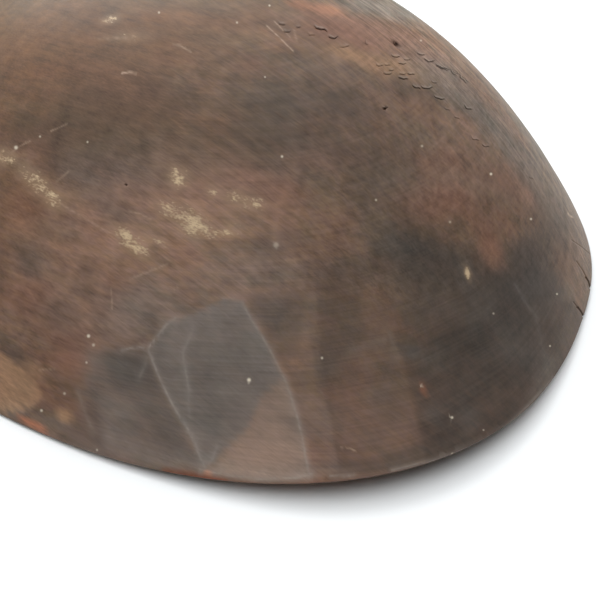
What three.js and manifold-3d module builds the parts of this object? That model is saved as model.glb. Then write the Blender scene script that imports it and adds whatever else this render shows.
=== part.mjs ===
// A hand-carved wooden feed scoop, lying hollow side down on its rim.
// Lengths are in millimetres and +Z is up. The lip that digs into the grain points to +X, and
// the handle leaves the back of the bowl along -X. The bowl is carved from one block, with a
// heel left on its back. The handle's round tenon goes through the heel and the back wall. A
// wedge spreads the tenon from inside the bowl, and a peg locks it from above.
import * as THREE from "three";
import { mergeVertices } from "three/addons/utils/BufferGeometryUtils.js";
import Module from "manifold-3d";

const wasm = await Module();
wasm.setup();

// Clearance between pieces that touch
const JOINT_GAP = 0.3;

// Outside of the bowl. Its two reaches run along X from the widest section.
const LIP_REACH = 118.5;
const BACK_REACH = 113.5;
const HALF_WIDTH = 95;
const BOWL_HEIGHT = 71.7;

// Powers of the bowl's curves. A plan of power 2 is an ellipse, and a higher one is squarer.
const LIP_SQUARENESS = 2.3;
const BACK_SQUARENESS = 2.2;
const CROWN_FULLNESS = 2.11;
const SIDE_BULGE = 1.08;

// Walls of the bowl, measured along X, Y and Z
const LIP_WALL = 5;
const BACK_WALL = 9;
const SIDE_WALL = 6.5;
const CROWN_WALL = 8;

// Heel left on the back of the bowl, with the wood that it keeps round the tenon. It swells
// towards the bowl that it grows out of.
const HEEL_LENGTH = 22;
const HEEL_SIDE_WALL = 12.7;
const HEEL_TOP_WALL = 11.7;
const HEEL_FLOOR_WALL = 10.7;
const HEEL_ROOT_DEPTH = 52;
const HEEL_SIDE_SWELL = 20;
const HEEL_TOP_SWELL = 9;
const HEEL_SQUARENESS = 2.5;

// Flats left by the knife. Each lies at an angle round the bowl, 0 being the lip, and at a
// share of the bowl's reach there.
const KNIFE_FLATS = [
  { angle: -70, share: 0.94, depth: 0.57 },
  { angle: -58, share: 0.9, depth: 0.9 },
  { angle: -49, share: 0.88, depth: 0.5 },
  { angle: -41.5, share: 0.89, depth: 0.8 },
  { angle: -26, share: 0.91, depth: 0.7 },
];

// Handle. Its distances run back from the shoulder that meets the heel.
const TENON_RADIUS = 10;
const TENON_ROOT_DEPTH = 4;
const SHOULDER_STEP = 6;
const NECK_DISTANCE = 30;
const NECK_RADIUS = 12;
const PALM_DISTANCE = 80;
const PALM_RADIUS = 15;
const WAIST_DISTANCE = 124;
const WAIST_RADIUS = 12.5;
const KNOB_DISTANCE = 148;
const KNOB_RADIUS = 17;
const KNOB_END_LENGTH = 14;
const KNOB_END_RADIUS = 6.5;
const GRIP_FLATNESS = 0.9;

// Wedge in the end of the tenon. It stops short of the peg.
const WEDGE_TO_PEG = 8;
const WEDGE_THICK_END = 3.4;
const WEDGE_THIN_END = 1;

// Peg through the heel and the tenon
const PEG_RADIUS = 3.5;
const PEG_SETBACK = 11;
const PEG_PROUD = 1.2;
const PEG_RECESS = 1;
const PEG_CHAMFER = 0.8;

// Fineness of the curved faces
const BOWL_SECTORS = 96;
const BOWL_RINGS = 22;
const HOLLOW_SECTORS = 72;
const HOLLOW_RINGS = 16;
const HEEL_ARCH_STEPS = 24;
const HEEL_STATIONS = 8;
const GRIP_SIDES = 20;
const GRIP_STATIONS = 30;
const TENON_SIDES = 32;
const PEG_SIDES = 16;

// Worked out from the sizes above
const MORTISE_RADIUS = TENON_RADIUS + JOINT_GAP;
const HANDLE_AXIS_HEIGHT = MORTISE_RADIUS + HEEL_FLOOR_WALL;
const HEEL_HEIGHT = HANDLE_AXIS_HEIGHT + MORTISE_RADIUS + HEEL_TOP_WALL;
const HEEL_HALF_WIDTH = MORTISE_RADIUS + HEEL_SIDE_WALL;
const SHOULDER_RADIUS = TENON_RADIUS + SHOULDER_STEP;
const HEEL_END_X = -(BACK_REACH + HEEL_LENGTH);
const HEEL_ROOT_X = HEEL_ROOT_DEPTH - BACK_REACH;
const SHOULDER_X = HEEL_END_X - JOINT_GAP;
const HANDLE_END_X = SHOULDER_X - KNOB_DISTANCE - KNOB_END_LENGTH;
const PEG_X = HEEL_END_X + PEG_SETBACK;
const WEDGE_TIP_X = PEG_X + PEG_RADIUS + WEDGE_TO_PEG;
const MIDDLE_X = (LIP_REACH + HANDLE_END_X) / 2;

const OUTSIDE = {
  lip: LIP_REACH,
  back: BACK_REACH,
  side: HALF_WIDTH,
  height: BOWL_HEIGHT,
};
const HOLLOW = {
  lip: LIP_REACH - LIP_WALL,
  back: BACK_REACH - BACK_WALL,
  side: HALF_WIDTH - SIDE_WALL,
  height: BOWL_HEIGHT - CROWN_WALL,
};

// A closed mesh with merged vertices, as a solid for the boolean cuts and joins
function toSolid(geometry) {
  const bare = geometry.clone();
  bare.deleteAttribute("normal");
  bare.deleteAttribute("uv");
  const welded = mergeVertices(bare, 1e-4);
  return new wasm.Manifold(new wasm.Mesh({
    numProp: 3,
    vertProperties: Float32Array.from(welded.attributes.position.array),
    triVerts: Uint32Array.from(welded.index.array),
  }));
}

function toGeometry(solid) {
  const mesh = solid.getMesh();
  const geometry = new THREE.BufferGeometry();
  geometry.setAttribute("position", new THREE.BufferAttribute(mesh.vertProperties, 3));
  geometry.setIndex(new THREE.BufferAttribute(mesh.triVerts, 1));
  geometry.computeVertexNormals();
  return geometry;
}

// A solid through rings of equal point counts, closed by a fan at each end. The rings turn
// anticlockwise as seen from the side that they advance to.
function loft(rings, startCentre, endCentre) {
  const count = rings[0].length;
  const points = [...rings.flat(), startCentre, endCentre];
  const start = points.length - 2;
  const end = points.length - 1;
  const top = (rings.length - 1) * count;
  const triangles = [];
  for (let i = 0; i < count; i += 1) {
    const next = (i + 1) % count;
    for (let base = 0; base < top; base += count) {
      triangles.push(base + i, base + next, base + next + count);
      triangles.push(base + i, base + next + count, base + i + count);
    }
    triangles.push(start, next, i);
    triangles.push(end, top + i, top + next);
  }
  const geometry = new THREE.BufferGeometry().setFromPoints(points);
  geometry.setIndex(triangles);
  return toSolid(geometry);
}

function signedPower(value, power) {
  return Math.sign(value) * Math.abs(value) ** power;
}

// A point of a dome's face, at a share of its reach and an angle from the lip
function domePoint(size, share, angle) {
  const forward = Math.cos(angle) > 0;
  const reach = forward ? size.lip : size.back;
  const power = 2 / (forward ? LIP_SQUARENESS : BACK_SQUARENESS);
  return new THREE.Vector3(
    share * reach * signedPower(Math.cos(angle), power),
    share * size.side * signedPower(Math.sin(angle), power),
    size.height * (1 - share ** CROWN_FULLNESS) ** (1 / SIDE_BULGE),
  );
}

// The share of its reach that a dome still has at a height
function domeShareAt(size, height) {
  return (1 - (height / size.height) ** SIDE_BULGE) ** (1 / CROWN_FULLNESS);
}

function dome(size, sectors, ringCount) {
  const rings = [];
  for (let ring = 0; ring < ringCount; ring += 1) {
    const share = 1 - ring / ringCount;
    const points = [];
    for (let i = 0; i < sectors; i += 1) {
      points.push(domePoint(size, share, (i / sectors) * 2 * Math.PI));
    }
    rings.push(points);
  }
  return loft(rings, new THREE.Vector3(), new THREE.Vector3(0, 0, size.height));
}

// How far along the heel a place lies, from 0 at its end to 1 at its root inside the bowl
function heelShare(x) {
  return (x - HEEL_END_X) / (HEEL_ROOT_X - HEEL_END_X);
}

function heelTopAt(x) {
  return HEEL_HEIGHT + HEEL_TOP_SWELL * heelShare(x) ** 2;
}

function heel() {
  const rings = [];
  for (let station = 0; station <= HEEL_STATIONS; station += 1) {
    const x = HEEL_END_X + (HEEL_ROOT_X - HEEL_END_X) * (station / HEEL_STATIONS);
    const halfWidth = HEEL_HALF_WIDTH + HEEL_SIDE_SWELL * heelShare(x) ** 2;
    const points = [];
    for (let i = 0; i <= HEEL_ARCH_STEPS; i += 1) {
      const angle = (i / HEEL_ARCH_STEPS) * Math.PI;
      const y = halfWidth * signedPower(Math.cos(angle), 2 / HEEL_SQUARENESS);
      const z = heelTopAt(x) * Math.abs(Math.sin(angle)) ** (2 / HEEL_SQUARENESS);
      points.push(new THREE.Vector3(x, y, i === HEEL_ARCH_STEPS ? 0 : z));
    }
    rings.push(points);
  }
  const centre = new THREE.Vector3(0, 0, HEEL_HEIGHT / 2);
  return loft(
    rings,
    centre.clone().setX(HEEL_END_X),
    centre.clone().setX(HEEL_ROOT_X),
  );
}

// A block whose face lies where one stroke of the knife left a flat on the bowl
function knifeStroke({ angle, share, depth }) {
  const turn = THREE.MathUtils.degToRad(angle);
  const step = 0.001;
  const point = domePoint(OUTSIDE, share, turn);
  const around = domePoint(OUTSIDE, share, turn + step).sub(point);
  const inward = domePoint(OUTSIDE, share - step, turn).sub(point);
  const outward = around.cross(inward).normalize();
  const size = HALF_WIDTH;
  const block = new THREE.BoxGeometry(size, size, size);
  block.translate(0, 0, size / 2 - depth);
  block.applyQuaternion(
    new THREE.Quaternion().setFromUnitVectors(new THREE.Vector3(0, 0, 1), outward),
  );
  block.translate(point.x, point.y, point.z);
  return toSolid(block);
}

// A round bar on the handle's axis
function axisBar(radius, fromX, toX) {
  const bar = new THREE.CylinderGeometry(radius, radius, toX - fromX, TENON_SIDES);
  bar.rotateZ(-Math.PI / 2);
  bar.translate((fromX + toX) / 2, 0, HANDLE_AXIS_HEIGHT);
  return toSolid(bar);
}

// Where the hollow's back wall stands at the top of the mortise: no wood of the tenon or the
// wedge reaches further
const TENON_TIP_X = -HOLLOW.back * domeShareAt(HOLLOW, HANDLE_AXIS_HEIGHT + MORTISE_RADIUS);

// The wedge's tapered plate stands upright, thick towards the hollow. Grown by the joint's
// clearance it is the kerf that takes it.
function wedgePlate(clearance) {
  const slope = (WEDGE_THICK_END - WEDGE_THIN_END) / 2 / (TENON_TIP_X - WEDGE_TIP_X);
  const startX = WEDGE_TIP_X - clearance;
  const startHalf = WEDGE_THIN_END / 2 + clearance - slope * clearance;
  const endHalf = startHalf + slope * (TENON_TIP_X - startX);
  const outline = new THREE.Shape([
    new THREE.Vector2(startX, -startHalf),
    new THREE.Vector2(TENON_TIP_X, -endHalf),
    new THREE.Vector2(TENON_TIP_X, endHalf),
    new THREE.Vector2(startX, startHalf),
  ]);
  const plate = new THREE.ExtrudeGeometry(outline, {
    depth: 2 * HANDLE_AXIS_HEIGHT,
    bevelEnabled: false,
  });
  return toSolid(plate);
}

// The peg stands on the vertical through the handle's axis. Grown by the joint's clearance and
// run past both faces it is the hole that takes it.
function pegBar(radius, fromZ, toZ, chamfer) {
  const profile = [
    new THREE.Vector2(0, fromZ),
    new THREE.Vector2(radius, fromZ),
    new THREE.Vector2(radius, toZ - chamfer),
    new THREE.Vector2(radius - chamfer, toZ),
    new THREE.Vector2(0, toZ),
  ];
  const bar = new THREE.LatheGeometry(profile, PEG_SIDES);
  bar.rotateX(Math.PI / 2);
  bar.translate(PEG_X, 0, 0);
  return toSolid(bar);
}

function pegHole() {
  const past = HEEL_TOP_SWELL;
  return pegBar(PEG_RADIUS + JOINT_GAP, -past, heelTopAt(PEG_X) + past, PEG_CHAMFER);
}

function hollow() {
  return dome(HOLLOW, HOLLOW_SECTORS, HOLLOW_RINGS);
}

function bowl() {
  const mortise = axisBar(MORTISE_RADIUS, HEEL_END_X - HEEL_LENGTH, TENON_TIP_X);
  let carved = dome(OUTSIDE, BOWL_SECTORS, BOWL_RINGS).add(heel());
  for (const flat of KNIFE_FLATS) {
    carved = carved.subtract(knifeStroke(flat));
  }
  return carved.subtract(hollow()).subtract(mortise).subtract(pegHole());
}

// Half widths of the grip along the handle, from the knob's end to the shoulder
function gripCurve() {
  const stations = [
    [KNOB_DISTANCE + KNOB_END_LENGTH, KNOB_END_RADIUS],
    [KNOB_DISTANCE, KNOB_RADIUS],
    [WAIST_DISTANCE, WAIST_RADIUS],
    [PALM_DISTANCE, PALM_RADIUS],
    [NECK_DISTANCE, NECK_RADIUS],
    [0, SHOULDER_RADIUS],
  ];
  return new THREE.SplineCurve(
    stations.map(([distance, radius]) => new THREE.Vector2(SHOULDER_X - distance, radius)),
  );
}

function grip() {
  const rings = gripCurve().getPoints(GRIP_STATIONS).map((station) => {
    const points = [];
    for (let i = 0; i < GRIP_SIDES; i += 1) {
      const angle = (i / GRIP_SIDES) * 2 * Math.PI;
      points.push(new THREE.Vector3(
        station.x,
        station.y * Math.cos(angle),
        HANDLE_AXIS_HEIGHT + GRIP_FLATNESS * station.y * Math.sin(angle),
      ));
    }
    return points;
  });
  const centre = new THREE.Vector3(0, 0, HANDLE_AXIS_HEIGHT);
  return loft(rings, centre.clone().setX(HANDLE_END_X), centre.clone().setX(SHOULDER_X));
}

function handle() {
  const tenon = axisBar(TENON_RADIUS, SHOULDER_X - TENON_ROOT_DEPTH, TENON_TIP_X);
  const kerf = wedgePlate(JOINT_GAP);
  return grip().add(tenon).subtract(kerf).subtract(hollow()).subtract(pegHole());
}

function tenonWedge() {
  const tenon = axisBar(TENON_RADIUS, SHOULDER_X, TENON_TIP_X);
  return wedgePlate(0).intersect(tenon).subtract(hollow());
}

function lockingPeg() {
  return pegBar(PEG_RADIUS, PEG_RECESS, heelTopAt(PEG_X) + PEG_PROUD, PEG_CHAMFER);
}

function wood(color, roughness) {
  return new THREE.MeshStandardMaterial({ color, roughness, metalness: 0 });
}

const scoop = new THREE.Group();
scoop.position.x = -MIDDLE_X;

function addPiece(name, solid, material) {
  const mesh = new THREE.Mesh(toGeometry(solid), material);
  mesh.name = name;
  scoop.add(mesh);
}

addPiece("bowl", bowl(), wood(0x69544a, 0.55));
addPiece("handle", handle(), wood(0x735a48, 0.5));
addPiece("tenon_wedge", tenonWedge(), wood(0x8c6e4c, 0.65));
addPiece("locking_peg", lockingPeg(), wood(0x5b4537, 0.6));

export default scoop;
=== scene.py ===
# %% [markdown]
# # A hand-carved feed scoop
#
# The scoop lies hollow side down, so what shows is the back of its bowl: dark old hardwood,
# scraped smooth, with flats where a knife trimmed it near the lip. The CAD model fixes the
# sizes, the joint of the handle and where everything lies. This script gives the wood its
# carved surface and its finish.

# %% The frame
import math
import random

import bpy
import numpy as np
from mathutils import Matrix, Vector, noise
from mathutils.kdtree import KDTree


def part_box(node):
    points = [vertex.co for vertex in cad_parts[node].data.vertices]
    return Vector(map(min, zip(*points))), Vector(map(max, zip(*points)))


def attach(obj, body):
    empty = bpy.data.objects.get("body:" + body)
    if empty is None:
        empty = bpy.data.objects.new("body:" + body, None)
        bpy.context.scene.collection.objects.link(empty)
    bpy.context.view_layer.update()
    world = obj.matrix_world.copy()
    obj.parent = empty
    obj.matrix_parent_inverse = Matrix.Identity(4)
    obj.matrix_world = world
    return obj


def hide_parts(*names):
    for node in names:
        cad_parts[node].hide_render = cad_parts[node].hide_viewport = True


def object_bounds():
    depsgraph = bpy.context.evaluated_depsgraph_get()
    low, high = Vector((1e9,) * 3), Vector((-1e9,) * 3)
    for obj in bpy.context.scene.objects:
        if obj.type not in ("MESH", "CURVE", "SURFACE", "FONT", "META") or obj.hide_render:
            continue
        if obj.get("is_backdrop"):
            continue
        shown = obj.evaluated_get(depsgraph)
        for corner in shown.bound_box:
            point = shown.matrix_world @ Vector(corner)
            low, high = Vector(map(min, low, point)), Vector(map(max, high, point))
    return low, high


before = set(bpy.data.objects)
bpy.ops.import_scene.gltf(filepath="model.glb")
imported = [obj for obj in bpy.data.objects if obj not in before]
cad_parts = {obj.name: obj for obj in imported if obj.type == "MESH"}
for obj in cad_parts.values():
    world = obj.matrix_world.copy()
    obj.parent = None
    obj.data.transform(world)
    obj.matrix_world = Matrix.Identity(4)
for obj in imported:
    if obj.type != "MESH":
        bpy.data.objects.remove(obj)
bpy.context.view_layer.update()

bowl_low, bowl_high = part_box("bowl")
handle_low, handle_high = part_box("handle")
peg_low, peg_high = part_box("locking_peg")
for title, low, high in (
    ("bowl", bowl_low, bowl_high), ("handle", handle_low, handle_high), ("peg", peg_low, peg_high),
):
    print(title, [round(v, 4) for v in (*low, *high)])

# %% [markdown]
# ## The sizes of the bowl
#
# The back of the bowl is a dome. Seen from above its outline is a squarish oval, a little longer
# to the lip than to the handle, and seen from the side it falls like a parabola. A point of the
# dome is named by its share of the way out from the crown and its angle round from the lip.

# %% The dome
MM = 0.001
LIP_REACH = 118.5 * MM
BACK_REACH = 113.5 * MM
LIP_WALL, BACK_WALL, SIDE_WALL, CROWN_WALL = 5 * MM, 9 * MM, 6.5 * MM, 8 * MM
LIP_SQUARENESS, BACK_SQUARENESS = 2.3, 2.2
CROWN_FULLNESS, SIDE_BULGE = 2.11, 1.08
BOWL_X = bowl_high.x - LIP_REACH

OUTSIDE = dict(lip=LIP_REACH, back=BACK_REACH, side=bowl_high.y, height=bowl_high.z)
HOLLOW = dict(
    lip=LIP_REACH - LIP_WALL,
    back=BACK_REACH - BACK_WALL,
    side=bowl_high.y - SIDE_WALL,
    height=bowl_high.z - CROWN_WALL,
)


def signed_power(value, power):
    return np.sign(value) * np.abs(value) ** power


def dome_height(size, share):
    return size["height"] * np.maximum(1 - share**CROWN_FULLNESS, 0) ** (1 / SIDE_BULGE)


def dome_points(size, share, angle):
    """Points of a dome's face, for arrays of shares and angles."""
    forward = np.cos(angle) > 0
    reach = np.where(forward, size["lip"], size["back"])
    power = np.where(forward, 2 / LIP_SQUARENESS, 2 / BACK_SQUARENESS)
    x = BOWL_X + share * reach * signed_power(np.cos(angle), power)
    y = share * size["side"] * signed_power(np.sin(angle), power)
    return np.stack([x, y, dome_height(size, share)], axis=-1)


def dome_share(size, x, y):
    """How far out from the crown a place in plan lies: 1 is on the rim."""
    x = x - BOWL_X
    power = np.where(x > 0, LIP_SQUARENESS, BACK_SQUARENESS)
    reach = np.where(x > 0, size["lip"], size["back"])
    return (np.abs(x / reach) ** power + np.abs(y / size["side"]) ** power) ** (1 / power)


def dome_normal(size, share, angle):
    step = 1e-3
    here = dome_points(size, share, angle)
    around = dome_points(size, share, angle + step) - here
    inward = dome_points(size, share - step, angle) - here
    normal = np.cross(around, inward)
    return normal / np.linalg.norm(normal, axis=-1, keepdims=True)


print("bowl", round(LIP_REACH + BACK_REACH, 4), "long and", round(2 * bowl_high.y, 4), "wide")

# %% [markdown]
# ## The camera
#
# The photograph was taken close up, from above the near side of the lip. Its camera comes first,
# because stains, scratches and torn grain are placed on the wood by where the photo shows them.
# The pixel places are those of a 600 by 600 image.

# %% The camera
CAMERA_TARGET = Vector((BOWL_X + 50.9 * MM, -28.3 * MM, 0))
CAMERA_AZIMUTH = math.radians(28.28)
CAMERA_ELEVATION = math.radians(43.5)
CAMERA_DISTANCE = 180.2 * MM
CAMERA_ROLL = math.radians(1.17)
CAMERA_VIEW_ANGLE = math.radians(48)
IMAGE_SIZE = 600

camera_back = Vector((
    math.sin(CAMERA_AZIMUTH) * math.cos(CAMERA_ELEVATION),
    -math.cos(CAMERA_AZIMUTH) * math.cos(CAMERA_ELEVATION),
    math.sin(CAMERA_ELEVATION),
))
level_right = Vector((0, 0, 1)).cross(camera_back).normalized()
level_up = camera_back.cross(level_right)
camera_right = math.cos(CAMERA_ROLL) * level_right + math.sin(CAMERA_ROLL) * level_up
camera_up = math.cos(CAMERA_ROLL) * level_up - math.sin(CAMERA_ROLL) * level_right
camera_place = CAMERA_TARGET + CAMERA_DISTANCE * camera_back

camera_data = bpy.data.cameras.new("photo_camera")
camera_data.sensor_fit = "HORIZONTAL"
camera_data.angle = CAMERA_VIEW_ANGLE
camera_data.clip_start = 0.005
camera = bpy.data.objects.new("photo_camera", camera_data)
camera.matrix_world = Matrix.Translation(camera_place) @ Matrix(
    (camera_right, camera_up, camera_back)
).transposed().to_4x4()
bpy.context.scene.collection.objects.link(camera)
bpy.context.scene.camera = camera


def photo_places(points):
    """Where points of the scene lie in the photo, in pixels."""
    away = np.asarray(points) - np.array(camera_place)
    depth = -away @ np.array(camera_back)
    focal = IMAGE_SIZE / 2 / math.tan(CAMERA_VIEW_ANGLE / 2)
    across = IMAGE_SIZE / 2 + focal * (away @ np.array(camera_right)) / depth
    down = IMAGE_SIZE / 2 - focal * (away @ np.array(camera_up)) / depth
    return np.stack([across, down], axis=-1)


print("camera at", [round(v, 4) for v in camera_place])

# %% [markdown]
# ## Helpers for modelling
#
# Edit-mode operators act on whatever is selected, and the CAD nodes come in selected. So each
# piece is made active on its own, and its faces or vertices are picked by where they lie. These
# steps come back at every piece, so each has a helper here.


# %% Helpers
def only(piece):
    """Makes one piece the only one that operators act on."""
    bpy.ops.object.select_all(action="DESELECT")
    piece.select_set(True)
    bpy.context.view_layer.objects.active = piece


def new_solid(name, primitive, **settings):
    """Adds a primitive with nothing else selected, and puts its place in its mesh."""
    bpy.ops.object.select_all(action="DESELECT")
    primitive(**settings)
    solid = bpy.context.active_object
    solid.name = name
    bpy.ops.object.transform_apply(location=True, rotation=True, scale=True)
    return solid


def edit(piece, chosen=None, kind="VERT"):
    """Opens a piece in edit mode with all of it selected, or only the chosen parts."""
    only(piece)
    bpy.ops.object.mode_set(mode="EDIT")
    bpy.ops.mesh.select_mode(type=kind)
    bpy.ops.mesh.select_all(action="SELECT" if chosen is None else "DESELECT")
    if chosen is not None:
        bpy.ops.object.mode_set(mode="OBJECT")
        parts = piece.data.vertices if kind == "VERT" else piece.data.polygons
        parts.foreach_set("select", chosen)
        bpy.ops.object.mode_set(mode="EDIT")


def edit_open_rim(piece):
    """Opens a shell in edit mode with its open rim selected."""
    edit(piece)
    bpy.ops.mesh.select_all(action="DESELECT")
    bpy.ops.mesh.select_non_manifold(extend=False)


def leave_edit():
    bpy.ops.object.mode_set(mode="OBJECT")


def leave_facing_out():
    """Turns every face of a closed solid outwards and leaves edit mode."""
    bpy.ops.mesh.select_all(action="SELECT")
    bpy.ops.mesh.normals_make_consistent(inside=False)
    leave_edit()


def read(items, field):
    """Vectors of a mesh's vertices or faces, one in a row."""
    values = np.empty(len(items) * 3)
    items.foreach_get(field, values)
    return values.reshape(-1, 3)


def points_of(piece):
    return read(piece.data.vertices, "co")


def normals_of(piece):
    return read(piece.data.vertex_normals, "vector")


def place_points(piece, points):
    piece.data.vertices.foreach_set("co", np.asarray(points, dtype=float).ravel())
    piece.data.update()


def cut(piece, tool, operation):
    """Joins a solid to a piece or cuts it out, and deletes the tool."""
    only(piece)
    change = piece.modifiers.new(operation.lower(), "BOOLEAN")
    change.operation = operation
    change.object = tool
    change.solver = "MANIFOLD"
    bpy.ops.object.modifier_apply(modifier=change.name)
    bpy.data.objects.remove(tool)


def smooth_noise(points, size, seed):
    """Soft lumps of a given size, from about -1 to 1, for an array of points."""
    shift = Vector((seed * 17.3, seed * 5.1, seed * 9.7))
    return np.array([noise.noise(Vector(p) / size + shift) for p in points])


def count(piece):
    triangles = sum(len(face.vertices) - 2 for face in piece.data.polygons)
    print(piece.name, len(piece.data.vertices), "vertices,", triangles, "triangles")


# %% [markdown]
# ## The outside of the bowl
#
# A sphere cut at its equator has the right rings and spokes for a dome. Each of its vertices is
# then moved to its place on the bowl's curves. The spokes are drawn closer together on the side
# with the knife's flats, where the wood is seen close up.

# %% The outside of the bowl
SPOKES = 105
HALF_RINGS = 24
CUTS = 3
CLOSE_UP_ANGLE = math.radians(-50)
CLOSE_UP_SHARE = 0.55
EVEN_STEPS = 400
BELOW_EQUATOR = -1e-4


def even_shares(size):
    """Shares that lie evenly along the dome's fall from the crown to the rim."""
    table = np.linspace(0, 1, EVEN_STEPS)
    fall = dome_points(size, table, np.full(EVEN_STEPS, CLOSE_UP_ANGLE))
    walked = np.concatenate([[0], np.cumsum(np.linalg.norm(np.diff(fall, axis=0), axis=1))])
    return walked / walked[-1], table


def dome_shell(name, size, spokes, half_rings, cuts, close_up):
    """A dome of rings and spokes, open at the rim plane."""
    shell = new_solid(
        name, bpy.ops.mesh.primitive_uv_sphere_add,
        segments=spokes, ring_count=2 * half_rings, radius=1,
    )
    edit(shell, points_of(shell)[:, 2] < BELOW_EQUATOR)
    bpy.ops.mesh.delete(type="VERT")
    bpy.ops.mesh.select_all(action="SELECT")
    bpy.ops.mesh.subdivide(number_cuts=cuts)
    leave_edit()
    ball = points_of(shell)
    ball /= np.linalg.norm(ball, axis=1, keepdims=True)
    way_out = np.arccos(np.clip(ball[:, 2], 0, 1)) / (math.pi / 2)
    share = np.interp(way_out, *even_shares(size))
    turn = np.arctan2(ball[:, 1], ball[:, 0])
    place_points(shell, dome_points(size, share, CLOSE_UP_ANGLE + turn - close_up * np.sin(turn)))
    return shell


bowl = dome_shell("feed_scoop_bowl", OUTSIDE, SPOKES, HALF_RINGS, CUTS, CLOSE_UP_SHARE)
count(bowl)

# %% [markdown]
# ## The knife's flats
#
# The carver trimmed the near side of the lip with a few long strokes, and each left a flat. A
# bisect puts an edge where the flat meets the dome, and what stands proud of it is pushed in,
# level, so that the rim stays on its plane.

# %% The knife's flats
KNIFE_FLATS = (
    (-70, 0.94, 0.57 * MM), (-58, 0.9, 0.9 * MM), (-49, 0.88, 0.5 * MM), (-41.5, 0.89, 0.8 * MM),
    (-26, 0.91, 0.7 * MM),
)
SHORT_STROKES = ((-64.7, 0.877, 0.2 * MM), (-57, 0.9, 0.98 * MM))


def flat_plane(angle, share, depth):
    """A plane of the knife, below the dome at an angle from the lip and a share of the way out."""
    turn = math.radians(angle)
    normal = dome_normal(OUTSIDE, np.array(share), np.array(turn))
    return dome_points(OUTSIDE, np.array(share), np.array(turn)) - depth * normal, normal


def pare(piece, place, normal):
    """Cuts an edge along a plane and pushes in level what stands proud of it."""
    edit(piece)
    bpy.ops.mesh.bisect(plane_co=place, plane_no=normal, threshold=1e-6)
    leave_edit()
    points = points_of(piece)
    proud = np.maximum((points - place) @ normal, 0)
    level = normal * (1, 1, 0)
    place_points(piece, points - np.outer(proud / (level @ level), level))


for flat in KNIFE_FLATS + SHORT_STROKES:
    pare(bowl, *flat_plane(*flat))
count(bowl)

# %% [markdown]
# ## The worn foot of the rim
#
# The rim isn't a sharp line on the table. Its outer corner is worn round, most of all at the
# corner of the lip that scrapes the feed bin, and there it stands a little clear of the table.
# The skirt of the dome is lifted to leave that corner, and two extrusions turn it under.

# %% The foot of the rim
SKIRT = 16 * MM
LEAST_LIFT = 0.35 * MM
CORNER_LIFT = 6 * MM
CORNER_ANGLE = math.radians(-41)
SIDE_SPREAD, LIP_SPREAD = math.radians(24), math.radians(32)
LIFT_TO_PUSH, PUSH_FROM = 0.57, math.radians(20)
FOOT_STEPS = ((0.1, 0.02), (0.45, 0.5), (1, 1.3))
RIPPLE_LEAST, RIPPLE_MORE = 0.6, 0.9


def turn_of(points):
    """The angle round the bowl from the lip, by the vertex's own spoke."""
    x = (points[:, 0] - BOWL_X) / np.where(points[:, 0] > BOWL_X, LIP_REACH, BACK_REACH)
    return np.arctan2(points[:, 1] / bowl_high.y, x)


def rim_lift(turn):
    spread = np.where(turn < CORNER_ANGLE, SIDE_SPREAD, LIP_SPREAD)
    corner = np.exp(-(((turn - CORNER_ANGLE) / spread) ** 2))
    ripple = 0.5 + 0.5 * np.sin(5 * turn + 1) * np.cos(3 * turn)
    all_round = LEAST_LIFT * (RIPPLE_LEAST + RIPPLE_MORE * ripple)
    return all_round + (CORNER_LIFT - LEAST_LIFT) * corner


def lift_skirt(piece):
    points = points_of(piece)
    turn = turn_of(points)
    lift = rim_lift(turn)
    low = np.clip(1 - points[:, 2] / SKIRT, 0, 1)
    toward_camera = np.array([camera_back.x, camera_back.y, 0])
    toward_camera /= np.linalg.norm(toward_camera)
    off_lip = np.clip(-turn / PUSH_FROM, 0, 1)
    push = LIFT_TO_PUSH * off_lip * (lift - 1.5 * LEAST_LIFT).clip(0) * low**2
    points += np.outer(push, toward_camera)
    points[:, 2] += lift * low
    place_points(piece, points)


def selected(piece):
    chosen = np.empty(len(piece.data.vertices), dtype=bool)
    piece.data.vertices.foreach_get("select", chosen)
    return chosen


def turn_under(piece):
    """Carries the rim's corner round and down to the table, then closes the foot."""
    edit_open_rim(piece)
    leave_edit()
    corner = points_of(piece)[selected(piece)]
    lift = rim_lift(turn_of(corner))
    inward = np.array([BOWL_X, 0, 0]) - corner
    inward[:, 2] = 0
    inward /= np.linalg.norm(inward, axis=1, keepdims=True)
    for drop, inset in FOOT_STEPS:
        bpy.ops.object.mode_set(mode="EDIT")
        bpy.ops.mesh.extrude_region_move()
        leave_edit()
        ring = corner + inward * (inset * lift)[:, None]
        ring[:, 2] = corner[:, 2] * (1 - drop)
        points = points_of(piece)
        points[selected(piece)] = ring
        place_points(piece, points)
    bpy.ops.object.mode_set(mode="EDIT")
    bpy.ops.mesh.edge_face_add()
    leave_facing_out()


lift_skirt(bowl)
print("rim corner lifted", round(float(rim_lift(np.array([CORNER_ANGLE]))[0]) / MM, 2), "mm")

# %% [markdown]
# ## What the photo shows on the wood
#
# Torn grain left small scales along the far side, each a raised lip over a crack: the dark in the crack is
# painted shade, and a pale line on the lip is a painted highlight. Pale lines follow the edges between the
# short strokes of the knife, and a painted highlight runs along the rim's lower edge at the right. A few
# scratches, checks and specks of dust lie over all, with painted shade in the pits and checks. Each is
# named here with its place in the photo.


# %% Places of the marks
def marks(fields, *rows):
    """Marks by their place in the photo: x and y, then a value for each named field."""
    return [dict(zip(fields.split(), row[2:]), at=row[:2]) for row in rows]


def lines(*rows):
    """Lines drawn on the photo: width, strength, and then the places that they pass."""
    return [dict(width=row[0], strength=row[1], path=list(row[2:])) for row in rows]


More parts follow.
